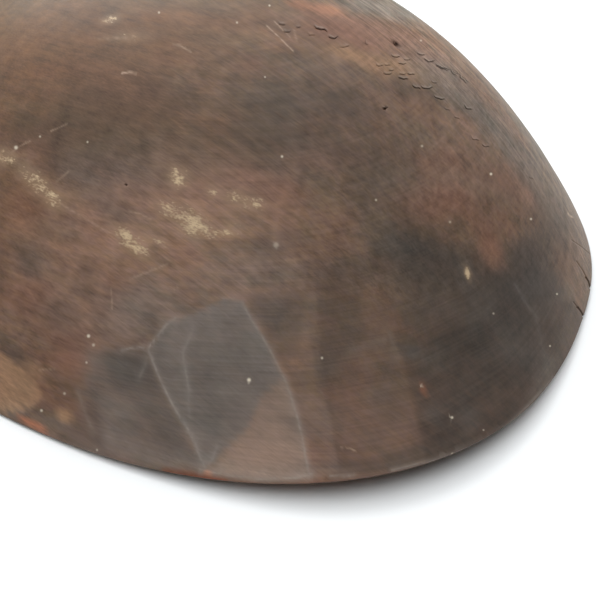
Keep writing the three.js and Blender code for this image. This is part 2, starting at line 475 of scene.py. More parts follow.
TORN_SCALES = marks(
    "width turn depth",
    (321, 28.5, 14, 3, 1), (311.5, 34.8, 8, 0, 0.35), (333.5, 37.7, 10, 0, 0.85),
    (345, 46.5, 10, -20, 0.4), (366, 43, 6, 50, 0.35), (395.7, 56.8, 9, -5, 0.7), (407, 60, 7, 0, 0.4),
    (402.4, 63.7, 8, 0, 0.6), (379.4, 65.6, 8, 5, 0.5), (387.5, 65, 6, -5, 0.4),
    (391.5, 70.2, 5, 0, 0.5), (388, 74, 9, 0, 0.6), (402.7, 74, 7, 0, 0.55), (411, 74, 8, 5, 0.7),
    (403.3, 78.4, 10, 5, 0.9), (420.5, 54.9, 9, 5, 0.6), (428.6, 61.6, 11, 12, 0.75),
    (441.6, 68.3, 15, 18, 1), (453, 73.3, 9, 35, 0.7), (462.6, 79.4, 12, 40, 0.9),
    (416.7, 87.4, 9, 5, 0.9), (426.6, 88.4, 12, 2, 1), (434, 82.8, 6, 0, 0.4),
    (439, 98.5, 11, 14, 0.95), (467.4, 108.7, 9, 22, 0.9), (447, 109.4, 6, 5, 0.4),
    (457, 118, 6, 10, 0.45), (475, 139.7, 9, 5, 0.5), (485.6, 146.4, 8, 5, 0.6), (531, 178, 6, 20, 0.3),
    (282, 24, 7, 0, 0.6), (287, 31.6, 8, 3, 0.5), (298.5, 27, 5, 0, 0.4), (385.5, 108, 6, -10, 0.8),
)
PITS = marks(
    "size turn depth",
    (396.5, 43.8, (3.6, 1.5), 38, 1), (385.5, 108, (1.6, 1.2), 0, 0.5),
    (125.5, 184.5, (1.4, 0.9), 20, 0.4),
)
END_CHECKS = lines(
    (0.5, 0.3, (572, 240), (582, 247), (590, 254)), (0.5, 0.45, (577, 261), (583, 270), (587, 278)),
    (0.65, 1, (586, 277), (588.5, 281), (590.5, 288)), (0.5, 0.35, (574, 302), (578, 307)),
    (0.65, 1, (578, 307), (581, 311), (584.5, 318)),
)
# Pale lines along the edges of the knife's strokes, where they are worn lighter, and painted highlights.
PALE_RIDGES_AND_HIGHLIGHTS = lines(
    (1.2, 0.7, (122, 350), (132, 348), (141, 347), (148, 349)),
    (1.5, 0.8, (147, 350), (156, 338), (166, 325), (175, 318)),
    (2.4, 0.35, (175, 318), (184, 316), (190, 319), (193, 329), (189, 339)),
    (1.5, 0.6, (189, 339), (183, 352), (184, 363), (187, 378), (189, 392)),
    (1.5, 0.3, (189, 392), (188, 404), (190, 418)),
    (1.4, 0.85, (148, 350), (158, 374), (168, 396), (178, 414)),
    (1.6, 0.7, (178, 414), (189, 431), (195, 443), (199, 456), (205, 467)),
    (1.8, 0.35, (148, 352), (145, 366), (139, 378)), (2, 0.35, (205, 467), (212, 460), (217, 447)),
    (2, 0.35, (223, 299), (234, 299), (242, 302)),
    (1.5, 0.7, (242, 302), (251, 319), (260, 333), (270, 350), (277, 364)),
    (1.7, 0.6, (277, 364), (284, 378), (290, 394), (298, 420), (304, 448), (309, 475)),
    (2.6, 0.2, (347, 352), (366, 346), (386, 340)), (3, 0.2, (390, 333), (393, 345), (397, 356)),
    (1.6, 0.7, (200, 470), (230, 475.5), (262, 479.5), (295, 478), (312, 474)),
    # This line is a painted highlight along the rim's lower edge at the right.
    (1.2, 0.6, (392, 470), (440, 459), (470, 448), (495, 435.5), (520, 414), (552, 380)),
    (1.3, 0.5, (330, 476), (345, 475.5), (354, 475)), (2, 0.12, (536, 318), (543, 350), (549, 378)),
    (2, 0.3, (78, 392), (84, 410), (93, 432)), (1.3, 0.2, (515, 284), (525, 302), (537, 318)),
)
SCRATCHES = lines(
    (0.6, 0.7, (267, 26), (280, 38), (293, 51)), (0.5, 0.45, (275, 22), (290, 37)),
    (0.8, 0.3, (294, 30), (297, 42)), (0.9, 1, (122, 73), (129, 72.5), (136, 74)),
    (1.3, 0.25, (95, 39), (120, 38), (137, 37)), (0.6, 0.4, (173, 44), (181, 46), (191, 52)),
    (1.4, 0.45, (130, 279), (148, 272), (167, 264)), (1, 0.45, (111, 289), (112, 300), (112, 309)),
    (0.8, 0.3, (168, 295), (180, 286)), (0.8, 0.45, (129, 211), (140, 214), (151, 219)),
    (1.4, 0.35, (61, 204), (80, 215), (103, 229), (120, 238)),
    (0.8, 0.45, (12, 152), (22, 145), (30, 141)), (1, 0.45, (51, 131), (67, 124)),
    (1, 0.4, (57, 181), (68, 172)), (0.8, 0.45, (341, 447.5), (350, 448.5), (356, 451)),
    (0.7, 0.4, (40, 369.5), (54, 369.5)), (0.7, 1.2, (568, 213.5), (570.5, 216), (573, 217.5)),
    (0.9, 0.9, (416.5, 27.5), (419.5, 28.5), (422, 30.5)),
)
SPECKS = marks(
    "size strength",
    (249, 380, 2.4, 1.2), (491, 174, 1.5, 1.2), (376, 200, 1.2, 0.7), (531, 219, 1.3, 1),
    (557, 294, 1.1, 0.9), (322, 358, 1.5, 0.85), (550, 346, 1.1, 0.8), (450, 222, 1.5, 0.45),
    (282, 156.5, 1.5, 0.8), (265, 77, 1, 0.7), (422, 146, 1.5, 0.5), (88.5, 336, 2, 1),
    (93.5, 345, 1.8, 0.6), (86.5, 362.5, 1.3, 0.7), (41.5, 410.5, 1.6, 0.8), (64.5, 393.5, 1.6, 0.5),
    (452, 417.5, 1.6, 0.8), (452.5, 454, 1.5, 0.7), (483.5, 430, 1.1, 0.5), (420.5, 386, 1.5, 0.4),
    (276, 245, 3.4, 0.35), (159, 12.5, 1.4, 0.5), (87.5, 142, 1.2, 0.6), (40, 136.5, 1.2, 0.6),
    (237, 22.5, 1.3, 0.5), (493.5, 313.5, 1.2, 0.6), (421, 40.5, 1.1, 0.7), (97, 450, 1.3, 0.7),
    (16, 147.5, 2.2, 0.8), (269.5, 5.5, 1.2, 0.7),
)
CREAM_DROP = [(466.6, 269.5), (467.5, 273), (468.4, 276.5)]
print(len(TORN_SCALES), "torn scales,", len(SPECKS), "specks")

# %% [markdown]
# ## Finer mesh where the marks are
#
# A crack a fifth of a millimetre wide needs a finer mesh than the rest of the bowl. Faces near a
# mark are subdivided: once for faint lines, twice for clearer ones, three times for specks and
# four times for cracks. The rest of the bowl stays light.

# %% Refining near the marks
SCALE_SAG, SCALE_SKEW, SCALE_RAGGED = 0.13, 0.12, 0.22
SCALE_STEPS = 7
SPECK_RING = 1.6
FAINT = 0.3
IN_PHOTO = (-20, 620)


def turned(places, at, turn):
    """Pixel offsets from a mark's place, along it and across it."""
    away = places - np.array(at)
    c, s = math.cos(math.radians(turn)), math.sin(math.radians(turn))
    return away[:, 0] * c + away[:, 1] * s, away[:, 1] * c - away[:, 0] * s


def out_of_oval(places, oval):
    """How far out of an oval each place lies, squared: 1 is on its edge."""
    along, across = turned(places, oval["at"], oval["turn"])
    return (along / oval["size"][0]) ** 2 + (across / oval["size"][1]) ** 2


def distance_to_path(places, path):
    """How far pixel places lie from a line through a few points, in pixels."""
    nearest = np.full(len(places), 1e9)
    for start, end in zip(path[:-1], path[1:]):
        start = np.array(start, dtype=float)
        along = np.array(end, dtype=float) - start
        walked = ((places - start) @ along) / max(along @ along, 1e-9)
        foot = start + np.clip(walked, 0, 1)[:, None] * along
        nearest = np.minimum(nearest, np.linalg.norm(places - foot, axis=1))
    return nearest


def scale_bend(scale, step):
    """How far a torn scale's crack bends from a straight line, no two alike."""
    sag = SCALE_SAG * (1 + 0.7 * math.cos(2.3 * scale["at"][0]))
    skew = SCALE_SKEW * (1 + 0.9 * math.cos(3.1 * scale["at"][1]))
    ragged = SCALE_RAGGED * np.sin(0.55 * scale["width"] * step + scale["at"][0])
    return scale["width"] * (skew * step**3 - sag * step**2) + ragged


def scale_path(scale):
    """The curve of a torn scale's crack, low in its middle."""
    steps = np.linspace(-1, 1, SCALE_STEPS)
    along = steps * (scale["width"] / 2)
    across = scale_bend(scale, steps)
    c, s = math.cos(math.radians(scale["turn"])), math.sin(math.radians(scale["turn"]))
    x = scale["at"][0] + along * c - across * s
    y = scale["at"][1] + along * s + across * c
    return list(zip(x, y))


def ring_round(x, y):
    """A path round a speck, so that the finer mesh reaches past its edge."""
    ring = [(x - SPECK_RING, y), (x, y - SPECK_RING), (x + SPECK_RING, y), (x, y + SPECK_RING)]
    return ring + ring[:1]


def facing_camera(points, normals):
    return np.einsum("ij,ij->i", np.array(camera_place) - points, normals) > 0


def refine(piece, paths, reach):
    """Subdivides once the faces that lie near paths drawn on the photo."""
    centres = read(piece.data.polygons, "center")
    places = photo_places(centres)
    shown = facing_camera(centres, read(piece.data.polygons, "normal"))
    shown &= (places > IN_PHOTO[0]).all(axis=1) & (places < IN_PHOTO[1]).all(axis=1)
    near = np.zeros(len(centres), dtype=bool)
    sample = np.flatnonzero(shown)
    for path in paths:
        near[sample] |= distance_to_path(places[sample], path) < reach
    edit(piece, near, "FACE")
    bpy.ops.mesh.subdivide(number_cuts=1)
    bpy.ops.mesh.select_mode(type="VERT")
    leave_edit()


CRACKS = [scale_path(scale) for scale in TORN_SCALES]
CRACKS += [[pit["at"], pit["at"]] for pit in PITS]
CRACKS += [check["path"] for check in END_CHECKS]
DOTS = [ring_round(*at) for at in [speck["at"] for speck in SPECKS] + CREAM_DROP]
FINE_LINES = [line["path"] for line in PALE_RIDGES_AND_HIGHLIGHTS + SCRATCHES]
SHARP_LINES = [line["path"] for line in PALE_RIDGES_AND_HIGHLIGHTS + SCRATCHES if line["strength"] > FAINT]
REFINING = (
    (CRACKS + FINE_LINES + DOTS, 4),
    (CRACKS + SHARP_LINES + DOTS, 2),
    (CRACKS + DOTS, 1.9),
    (CRACKS, 1),
)
for paths, reach in REFINING:
    refine(bowl, paths, reach)
count(bowl)

# %% [markdown]
# ## The carved surface
#
# Nothing carved by hand is true. Slow lumps as wide as a palm and quicker ones as wide as a
# finger are taken off the dome, and wood was left on the far shoulder of the lip. The cracks,
# pits and pale ridges of the photo are cut or raised.

# %% The carved surface
PALM_LUMP, PALM_DEPTH = 42 * MM, 0.32 * MM
FINGER_LUMP, FINGER_DEPTH = 13 * MM, 0.09 * MM
RIM_KEPT = 6 * MM
SHOULDER_AT, SHOULDER_SPREAD, SHOULDER_RISE = (60 * MM, 34 * MM), (45 * MM, 18 * MM), 1.1 * MM
SCALE_RISE, SCALE_DROP = 0.08 * MM, 0.1 * MM
LIP_LENGTH, CRACK_LENGTH = 0.3, 1.1
SCALE_FULL, SCALE_END = 1.25, 1.1
PIT_DEPTH = 1.1 * MM
CHECK_DEPTH = 0.3 * MM
RIDGE_RISE = 0.05 * MM
RIDGE_SPREAD = 1.6


def scale_mask(scale, places):
    """The mask along a scale's crack, and the pixels below the crack."""
    along, across = turned(places, scale["at"], scale["turn"])
    step = 2 * along / scale["width"]
    below = across - scale_bend(scale, step)
    mask = np.clip(SCALE_FULL - np.abs(step) ** 3, 0, 1) * (np.abs(step) < SCALE_END)
    return mask, below


def line_profile(places, path, width):
    """A soft line along a path: 1 on it, and falling off with the distance in pixels."""
    return np.exp(-((distance_to_path(places, path) / width) ** 2))


def carve_surface(piece):
    points = points_of(piece)
    normals = normals_of(piece)
    places = photo_places(points)
    palm = 0.5 + 0.5 * smooth_noise(points, PALM_LUMP, 3)
    finger = 0.5 + 0.5 * smooth_noise(points, FINGER_LUMP, 7)
    off_rim = np.clip(points[:, 2] / RIM_KEPT, 0, 1)
    rise = -(PALM_DEPTH * palm + FINGER_DEPTH * finger) * off_rim
    forward = (points[:, 0] - BOWL_X - SHOULDER_AT[0]) / SHOULDER_SPREAD[0]
    sideways = (points[:, 1] - SHOULDER_AT[1]) / SHOULDER_SPREAD[1]
    rise += SHOULDER_RISE * np.exp(-(forward**2) - sideways**2) * off_rim
    shown = facing_camera(points, normals)
    for scale in TORN_SCALES:
        mask, below = scale_mask(scale, places)
        lip = SCALE_RISE * np.exp(np.minimum(below, 0) / (LIP_LENGTH * scale["width"])) * (below < 0)
        shaded_crack = SCALE_DROP * np.exp(-np.maximum(below, 0) / CRACK_LENGTH) * (below >= 0)
        rise += shown * (scale["depth"] * mask * (lip - shaded_crack))
    for pit in PITS:
        rise -= shown * (PIT_DEPTH * pit["depth"] * np.exp(-(out_of_oval(places, pit) ** 1.5)))
    for check in END_CHECKS:
        slit = line_profile(places, check["path"], check["width"])
        rise -= shown * (CHECK_DEPTH * check["strength"] * slit)
    for pale_edge_and_highlight in PALE_RIDGES_AND_HIGHLIGHTS:
        crest = line_profile(places, pale_edge_and_highlight["path"], RIDGE_SPREAD * pale_edge_and_highlight["width"])
        rise += shown * (RIDGE_RISE * pale_edge_and_highlight["strength"] * crest)
    place_points(piece, points + normals * rise[:, None])
    print("deepest cut", round(float(rise.min()) / MM, 2), "mm")


carve_surface(bowl)
turn_under(bowl)
count(bowl)

# %% [markdown]
# ## The heel
#
# The heel is the block at the back of the bowl that takes the handle. Its section is a squarish
# arch standing on the table, drawn once as a ring. Each extrusion towards the bowl widens and
# heightens the arch, as the CAD's heel does, and its end is rounded by a bevel.

# %% The heel
JOINT_GAP = 0.3 * MM
TENON_RADIUS = 10 * MM
MORTISE_RADIUS = TENON_RADIUS + JOINT_GAP
HEEL_LENGTH = 22 * MM
HEEL_SIDE_WALL, HEEL_TOP_WALL, HEEL_FLOOR_WALL = 12.7 * MM, 11.7 * MM, 10.7 * MM
HEEL_ROOT_DEPTH = 52 * MM
HEEL_SIDE_SWELL, HEEL_TOP_SWELL = 20 * MM, 9 * MM
HEEL_SQUARENESS = 2.5
HEEL_ARCH_STEPS = 60
HEEL_FLOOR_STEPS = 20
HEEL_STATIONS = 26
HEEL_ROUNDING = 1.6 * MM

handle_axis = MORTISE_RADIUS + HEEL_FLOOR_WALL
heel_height = handle_axis + MORTISE_RADIUS + HEEL_TOP_WALL
heel_half_width = MORTISE_RADIUS + HEEL_SIDE_WALL
heel_end = BOWL_X - BACK_REACH - HEEL_LENGTH
heel_root = BOWL_X - BACK_REACH + HEEL_ROOT_DEPTH


def heel_share(x):
    """How far along the heel a place lies: 0 is its end, 1 its root in the bowl."""
    return (x - heel_end) / (heel_root - heel_end)


def heel_width_at(x):
    return heel_half_width + HEEL_SIDE_SWELL * heel_share(x) ** 2


def heel_top_at(x):
    return heel_height + HEEL_TOP_SWELL * heel_share(x) ** 2


def heel_arch():
    angles = np.linspace(0, math.pi, HEEL_ARCH_STEPS + 1)
    y = heel_half_width * signed_power(np.cos(angles), 2 / HEEL_SQUARENESS)
    z = heel_height * signed_power(np.abs(np.sin(angles)), 2 / HEEL_SQUARENESS)
    z[-1] = 0
    floor = np.linspace(-heel_half_width, heel_half_width, HEEL_FLOOR_STEPS + 1)[1:-1]
    y = np.concatenate([y, floor])
    z = np.concatenate([z, np.zeros(len(floor))])
    return np.stack([np.full(len(y), heel_end), y, z], axis=1)


def model_heel():
    arch = heel_arch()
    heel = new_solid(
        "heel", bpy.ops.mesh.primitive_circle_add,
        vertices=len(arch), radius=heel_half_width, fill_type="NGON",
    )
    place_points(heel, arch)
    edit(heel)
    x = heel_end
    stride = (heel_root - heel_end) / HEEL_STATIONS
    for _ in range(HEEL_STATIONS):
        wider = heel_width_at(x + stride) / heel_width_at(x)
        higher = heel_top_at(x + stride) / heel_top_at(x)
        bpy.ops.mesh.extrude_region_move(TRANSFORM_OT_translate={"value": (stride, 0, 0)})
        x += stride
        bpy.ops.transform.resize(value=(1, wider, higher), center_override=(x, 0, 0))
    leave_facing_out()
    edit(heel, np.abs(points_of(heel)[:, 0] - heel_end) < 1e-6)
    bpy.ops.mesh.select_mode(type="EDGE")
    bpy.ops.mesh.bevel(offset=HEEL_ROUNDING, segments=4, profile=0.5)
    bpy.ops.mesh.select_mode(type="VERT")
    leave_edit()
    return heel


heel = model_heel()
count(heel)
print("heel from", round(heel_end, 4), "to", round(heel_root, 4), "and", round(heel_height, 4), "high")

# %% [markdown]
# ## The hollow
#
# The hollow was dug out with a gouge, and its strokes left long shallow scallops that meet in
# soft crests. The hollow is made as a solid of its own, like a core, and cut out of the bowl. A
# copy of it later trims the tenon and the wedge flush with the wall.

# %% The hollow
HOLLOW_SPOKES, HOLLOW_HALF_RINGS = 52, 12
HOLLOW_BELOW = 4 * MM
GOUGE_LENGTH, GOUGE_WIDTH = 26 * MM, 9 * MM
GOUGE_DEPTH, GOUGE_WAVE, WAVE_LUMP = 0.45 * MM, 0.25 * MM, 35 * MM
GOUGE_WANDER_MM = (4, 2.2)
SCALLOP_REACH = 0.75
GOUGE_SEED = 11


def gouge_strokes():
    """Places of the strokes in plan, in rows along the bowl, each put down a little off true."""
    rng = random.Random(GOUGE_SEED)
    far, wide = GOUGE_WANDER_MM
    strokes = []
    rows = int(2 * bowl_high.y / GOUGE_WIDTH) + 2
    columns = int((LIP_REACH + BACK_REACH) / GOUGE_LENGTH) + 2
    for row in range(rows):
        shift = rng.uniform(0, GOUGE_LENGTH)
        for column in range(columns + 1):
            x = BOWL_X - BACK_REACH + column * GOUGE_LENGTH - shift + rng.uniform(-far, far) * MM
            y = -bowl_high.y + row * GOUGE_WIDTH + rng.uniform(-wide, wide) * MM
            strokes.append((x / GOUGE_LENGTH, y / GOUGE_WIDTH, 0))
    return strokes


def gouge(core):
    """Draws a core in between the strokes, where a gouge leaves crests of wood."""
    strokes = gouge_strokes()
    tree = KDTree(len(strokes))
    for index, stroke in enumerate(strokes):
        tree.insert(stroke, index)
    tree.balance()
    points = points_of(core)
    normals = normals_of(core)
    off_stroke = np.array([
        tree.find((x / GOUGE_LENGTH, y / GOUGE_WIDTH, 0))[2] for x, y, _ in points
    ])
    crest = GOUGE_DEPTH * (np.clip(off_stroke, 0, SCALLOP_REACH) / SCALLOP_REACH) ** 2
    crest += GOUGE_WAVE * (0.5 + 0.5 * smooth_noise(points, WAVE_LUMP, 5))
    place_points(core, points - normals * crest[:, None])


def model_hollow():
    core = dome_shell("hollow", HOLLOW, HOLLOW_SPOKES, HOLLOW_HALF_RINGS, CUTS, 0)
    gouge(core)
    edit_open_rim(core)
    bpy.ops.mesh.extrude_region_move(TRANSFORM_OT_translate={"value": (0, 0, -HOLLOW_BELOW)})
    bpy.ops.mesh.edge_face_add()
    leave_facing_out()
    return core


def spare_copy(solid, name):
    copy = solid.copy()
    copy.data = solid.data.copy()
    copy.name = name
    bpy.context.scene.collection.objects.link(copy)
    return copy


hollow = model_hollow()
hollow_for_tenon = spare_copy(hollow, "hollow_for_tenon")
hollow_for_wedge = spare_copy(hollow, "hollow_for_wedge")
count(hollow)

# %% [markdown]
# ## Joining and boring the bowl
#
# The heel is joined to the dome and the hollow is cut out. Then come the mortise for the tenon
# and the hole for the peg, as a maker would bore them. The seam round the heel is softened
# afterwards, because a carver runs one form into the other.

# %% Joining and boring
WEDGE_TO_PEG = 8 * MM
PEG_SETBACK = 11 * MM
PEG_RADIUS = 3.5 * MM
PAST = 12 * MM
BORE_SIDES = 64
SEAM_REACH = 5.5 * MM
SEAM_ABOVE = 0.4 * MM
DROP_TO_DISTANCE = 0.6
SEAM_PASSES = 22

peg_x = heel_end + PEG_SETBACK
tenon_top = handle_axis + MORTISE_RADIUS
tenon_tip = BOWL_X - HOLLOW["back"] * (1 - (tenon_top / HOLLOW["height"]) ** SIDE_BULGE) ** (
    1 / CROWN_FULLNESS
)


def bar_along_x(name, radius, from_x, to_x):
    return new_solid(
        name, bpy.ops.mesh.primitive_cylinder_add,
        vertices=BORE_SIDES, radius=radius, depth=to_x - from_x,
        location=((from_x + to_x) / 2, 0, handle_axis), rotation=(0, math.pi / 2, 0),
    )


def peg_drill():
    """An upright bar, wider than the peg by the joint's clearance."""
    top, bottom = heel_height + PAST, -PAST
    return new_solid(
        "peg_hole", bpy.ops.mesh.primitive_cylinder_add,
        vertices=BORE_SIDES, radius=PEG_RADIUS + JOINT_GAP, depth=top - bottom,
        location=(peg_x, 0, (bottom + top) / 2),
    )


def seam_of_heel(points):
    """How close a place on the outside lies to where the heel's arch meets the dome."""
    share = heel_share(points[:, 0])
    inside = (share > 0) & (share < 1)
    width = np.abs(points[:, 1]) / heel_width_at(points[:, 0])
    height = points[:, 2] / heel_top_at(points[:, 0])
    arch = (width**HEEL_SQUARENESS + np.clip(height, 0, None) ** HEEL_SQUARENESS) ** (
        1 / HEEL_SQUARENESS
    )
    off_arch = np.abs(arch - 1) * heel_half_width
    plan = dome_share(OUTSIDE, points[:, 0], points[:, 1])
    off_dome = np.abs(points[:, 2] - dome_height(OUTSIDE, plan)) * DROP_TO_DISTANCE
    off_dome = np.where(plan < 1, off_dome, (plan - 1) * BACK_REACH)
    return np.where(inside, np.hypot(off_arch, off_dome), 1)


def soften_seam(piece):
    points = points_of(piece)
    close = (seam_of_heel(points) < SEAM_REACH) & (points[:, 2] > SEAM_ABOVE)
    edit(piece, close)
    bpy.ops.mesh.vertices_smooth(factor=0.5, repeat=SEAM_PASSES)
    leave_edit()
    print("seam softened over", int(close.sum()), "vertices")


cut(bowl, heel, "UNION")
count(bowl)
cut(bowl, hollow, "DIFFERENCE")
count(bowl)
soften_seam(bowl)
cut(bowl, bar_along_x("mortise", MORTISE_RADIUS, heel_end - PAST, tenon_tip), "DIFFERENCE")
cut(bowl, peg_drill(), "DIFFERENCE")
count(bowl)

# %% [markdown]
# ## The handle
#
# The grip swells for the palm and ends in a knob, so that it doesn't slip out of a wet hand. A
# small ring is extruded from the knob's end to the shoulder, and at each step it is resized to
# the grip's profile. Two more extrusions make the tenon that goes through the heel.

# %% The handle
SHOULDER_RADIUS = TENON_RADIUS + 6 * MM
NECK_DISTANCE, NECK_RADIUS = 30 * MM, 12 * MM
PALM_DISTANCE, PALM_RADIUS = 80 * MM, 15 * MM
WAIST_DISTANCE, WAIST_RADIUS = 124 * MM, 12.5 * MM
KNOB_DISTANCE, KNOB_RADIUS = 148 * MM, 17 * MM
KNOB_END_LENGTH, KNOB_END_RADIUS = 14 * MM, 6.5 * MM
KNOB_ROUNDING = ((0, 0.35), (0.25 * MM, 0.72), (0.9 * MM, 0.93))
SHOULDER_ROUNDING = ((0.8 * MM, 0.998), (0.3 * MM, 0.985), (0, 0.955), (0, 0.8))
KNOB_CLEAR, SHOULDER_CLEAR = 1.6 * MM, 1 * MM
GRIP_FLATNESS = 0.9
GRIP_SIDES, GRIP_STEPS, TENON_STEPS = 72, 90, 6

shoulder_x = heel_end - JOINT_GAP
handle_end = shoulder_x - KNOB_DISTANCE - KNOB_END_LENGTH
GRIP_STATIONS = [
    (KNOB_DISTANCE + KNOB_END_LENGTH, KNOB_END_RADIUS),
    (KNOB_DISTANCE, KNOB_RADIUS),
    (WAIST_DISTANCE, WAIST_RADIUS),
    (PALM_DISTANCE, PALM_RADIUS),
    (NECK_DISTANCE, NECK_RADIUS),
    (0, SHOULDER_RADIUS),
]


def grip_profile(steps):
    """Places along the grip and its radii there, on a smooth curve through the stations."""
    stations = [np.array(station) for station in GRIP_STATIONS]
    stations = [stations[0], *stations, stations[-1]]
    profile = []
    for step in np.linspace(0, len(GRIP_STATIONS) - 1, steps + 1):
        index = min(int(step), len(GRIP_STATIONS) - 2)
        t = step - index
        a, b, c, d = stations[index:index + 4]
        spot = 0.5 * (2 * b + (c - a) * t + (2 * a - 5 * b + 4 * c - d) * t**2)
        spot += 0.5 * (3 * b - a - 3 * c + d) * t**3
        profile.append((shoulder_x - spot[0], spot[1]))
    return profile


def ring_on(x, change):
    """Extrudes the open end of the handle to a place and resizes it there."""
    bpy.ops.mesh.extrude_region_move()
    bpy.ops.transform.translate(value=(x, 0, 0))
    bpy.ops.transform.resize(value=(1, change, change), center_override=(0, 0, handle_axis))


def flatten_ring(flatness):
    bpy.ops.transform.resize(value=(1, 1, flatness), center_override=(0, 0, handle_axis))


def model_handle():
    rings = [(handle_end + back, KNOB_END_RADIUS * part) for back, part in KNOB_ROUNDING]
    first, last = handle_end + KNOB_CLEAR, shoulder_x - SHOULDER_CLEAR
    rings += [ring for ring in grip_profile(GRIP_STEPS) if first < ring[0] < last]
    rings += [(shoulder_x - back, SHOULDER_RADIUS * part) for back, part in SHOULDER_ROUNDING]
    x, radius = rings[0]
    handle = new_solid(
        "turned_handle", bpy.ops.mesh.primitive_circle_add,
        vertices=GRIP_SIDES, radius=radius, fill_type="NGON",
        location=(x, 0, handle_axis), rotation=(0, math.pi / 2, 0),
    )
    edit(handle)
    flatten_ring(GRIP_FLATNESS)
    for next_x, next_radius in rings[1:]:
        ring_on(next_x - x, next_radius / radius)
        x, radius = next_x, next_radius
    ring_on(0, TENON_RADIUS / radius)
    flatten_ring(1 / GRIP_FLATNESS)
    for _ in range(TENON_STEPS):
        ring_on((tenon_tip - shoulder_x) / TENON_STEPS, 1)
    leave_facing_out()
    return handle


handle = model_handle()
count(handle)

# %% [markdown]
# ## Shaving the grip
#
# The grip was shaved with a drawknife, so its section isn't a true round but has about eleven
# long flats, which wander a little along it. Each vertex is drawn in to the flat that it lies
# under. Hands have rubbed the flats softest at the palm.

# %% Shaving the grip
FACETS, FACET_SHARE = 11, 0.7
KNIFE_LUMP, KNIFE_WANDER, KNIFE_SQUEEZE = 16 * MM, 0.28, (0.4, 0.25, 0.25)
PALM_REACH, PALM_RUBBED = 34 * MM, 0.45
NICK_LUMP, NICK_DEPTH = 5 * MM, 0.12 * MM
KNOB_UNSHAVED, SHOULDER_UNSHAVED = 0.5 * MM, 0.1 * MM


def flat_share(angle, flats):
    """The radius of a section with so many flats, as a share of the round that it lies in."""
    side = 2 * math.pi / flats
    return np.cos(side / 2) / np.cos(np.mod(angle, side) - side / 2)


def shave_grip(piece):
    points = points_of(piece)
    y, z = points[:, 1], (points[:, 2] - handle_axis) / GRIP_FLATNESS
    radius = np.hypot(y, z)
    along = np.stack([points[:, 0], y, z], axis=1) * KNIFE_SQUEEZE
    wander = np.arctan2(z, y) + KNIFE_WANDER * smooth_noise(along, KNIFE_LUMP, 13)
    palm = np.exp(-(((shoulder_x - points[:, 0] - PALM_DISTANCE) / PALM_REACH) ** 2))
    share = FACET_SHARE * (1 - PALM_RUBBED * palm)
    nick = NICK_DEPTH * (0.5 + 0.5 * smooth_noise(points, NICK_LUMP, 21))
    thinner = radius * (1 - share * (1 - flat_share(wander, FACETS))) - nick
    on_grip = points[:, 0] < shoulder_x - SHOULDER_UNSHAVED
    on_grip &= points[:, 0] > handle_end + KNOB_UNSHAVED
    factor = np.where(on_grip, thinner / np.maximum(radius, 1e-6), 1)
    points[:, 1] = y * factor
    points[:, 2] = handle_axis + z * factor * GRIP_FLATNESS
    place_points(piece, points)


shave_grip(handle)
print("grip", round((shoulder_x - handle_end) / MM), "mm long")

# %% [markdown]
# ## The wedge and the peg
#
# The tenon is split and spread by a wedge driven in from the hollow, and a peg goes down through
# heel and tenon. The kerf, the peg's hole and the flush end of the tenon are cut with solids that
# have the joint's clearance, as in the CAD.

# %% The wedge and the peg
WEDGE_THICK_END, WEDGE_THIN_END = 3.4 * MM, 1 * MM
PLATE_CUTS = 11
RIVEN_LUMP, RIVEN_DEPTH, RIVEN_SQUEEZE = 1.6 * MM, 0.05 * MM, (0.15, 1, 1)
PEG_PROUD, PEG_RECESS = 1.2 * MM, 1 * MM
PEG_SIDES, PEG_FLATS, PEG_TWIST = 28, 9, 0.6
PEG_FOOT_WIDTH = 0.8
PEG_RINGS = (
    (0.03, 1), (0.25, 1), (0.5, 1), (0.75, 1), (0.955, 1), (0.98, 0.95), (0.993, 0.8), (1, 0.45),
)
WHITTLE_LUMP, WHITTLE_SHARE = 2.5 * MM, 0.025
wedge_tip_x = peg_x + PEG_RADIUS + WEDGE_TO_PEG


def wedge_plate(name, clearance):
    """An upright plate that tapers from the hollow to the peg."""
    from_x = wedge_tip_x - clearance
    middle = (from_x + tenon_tip) / 2
    plate = new_solid(
        name, bpy.ops.mesh.primitive_cube_add,
        size=1, location=(middle, 0, handle_axis), scale=(tenon_tip - from_x, 1, 2 * MORTISE_RADIUS),
    )
    points = points_of(plate)
    thick = np.where(points[:, 0] > middle, WEDGE_THICK_END, WEDGE_THIN_END)
    points[:, 1] = np.sign(points[:, 1]) * (thick / 2 + clearance)
    place_points(plate, points)
    edit(plate)
    bpy.ops.mesh.subdivide(number_cuts=PLATE_CUTS)
    leave_edit()
    return plate


def model_wedge():
    wedge = wedge_plate("tenon_end_wedge", 0)
    points = points_of(wedge)
    riven = smooth_noise(points * RIVEN_SQUEEZE, RIVEN_LUMP, 31)
    points[:, 1] -= np.sign(points[:, 1]) * RIVEN_DEPTH * (1 + riven)
    place_points(wedge, points)
    round_end = bar_along_x("round_end", TENON_RADIUS, wedge_tip_x - PAST, tenon_tip + PAST)
    cut(wedge, round_end, "INTERSECT")
    cut(wedge, hollow_for_wedge, "DIFFERENCE")
    return wedge


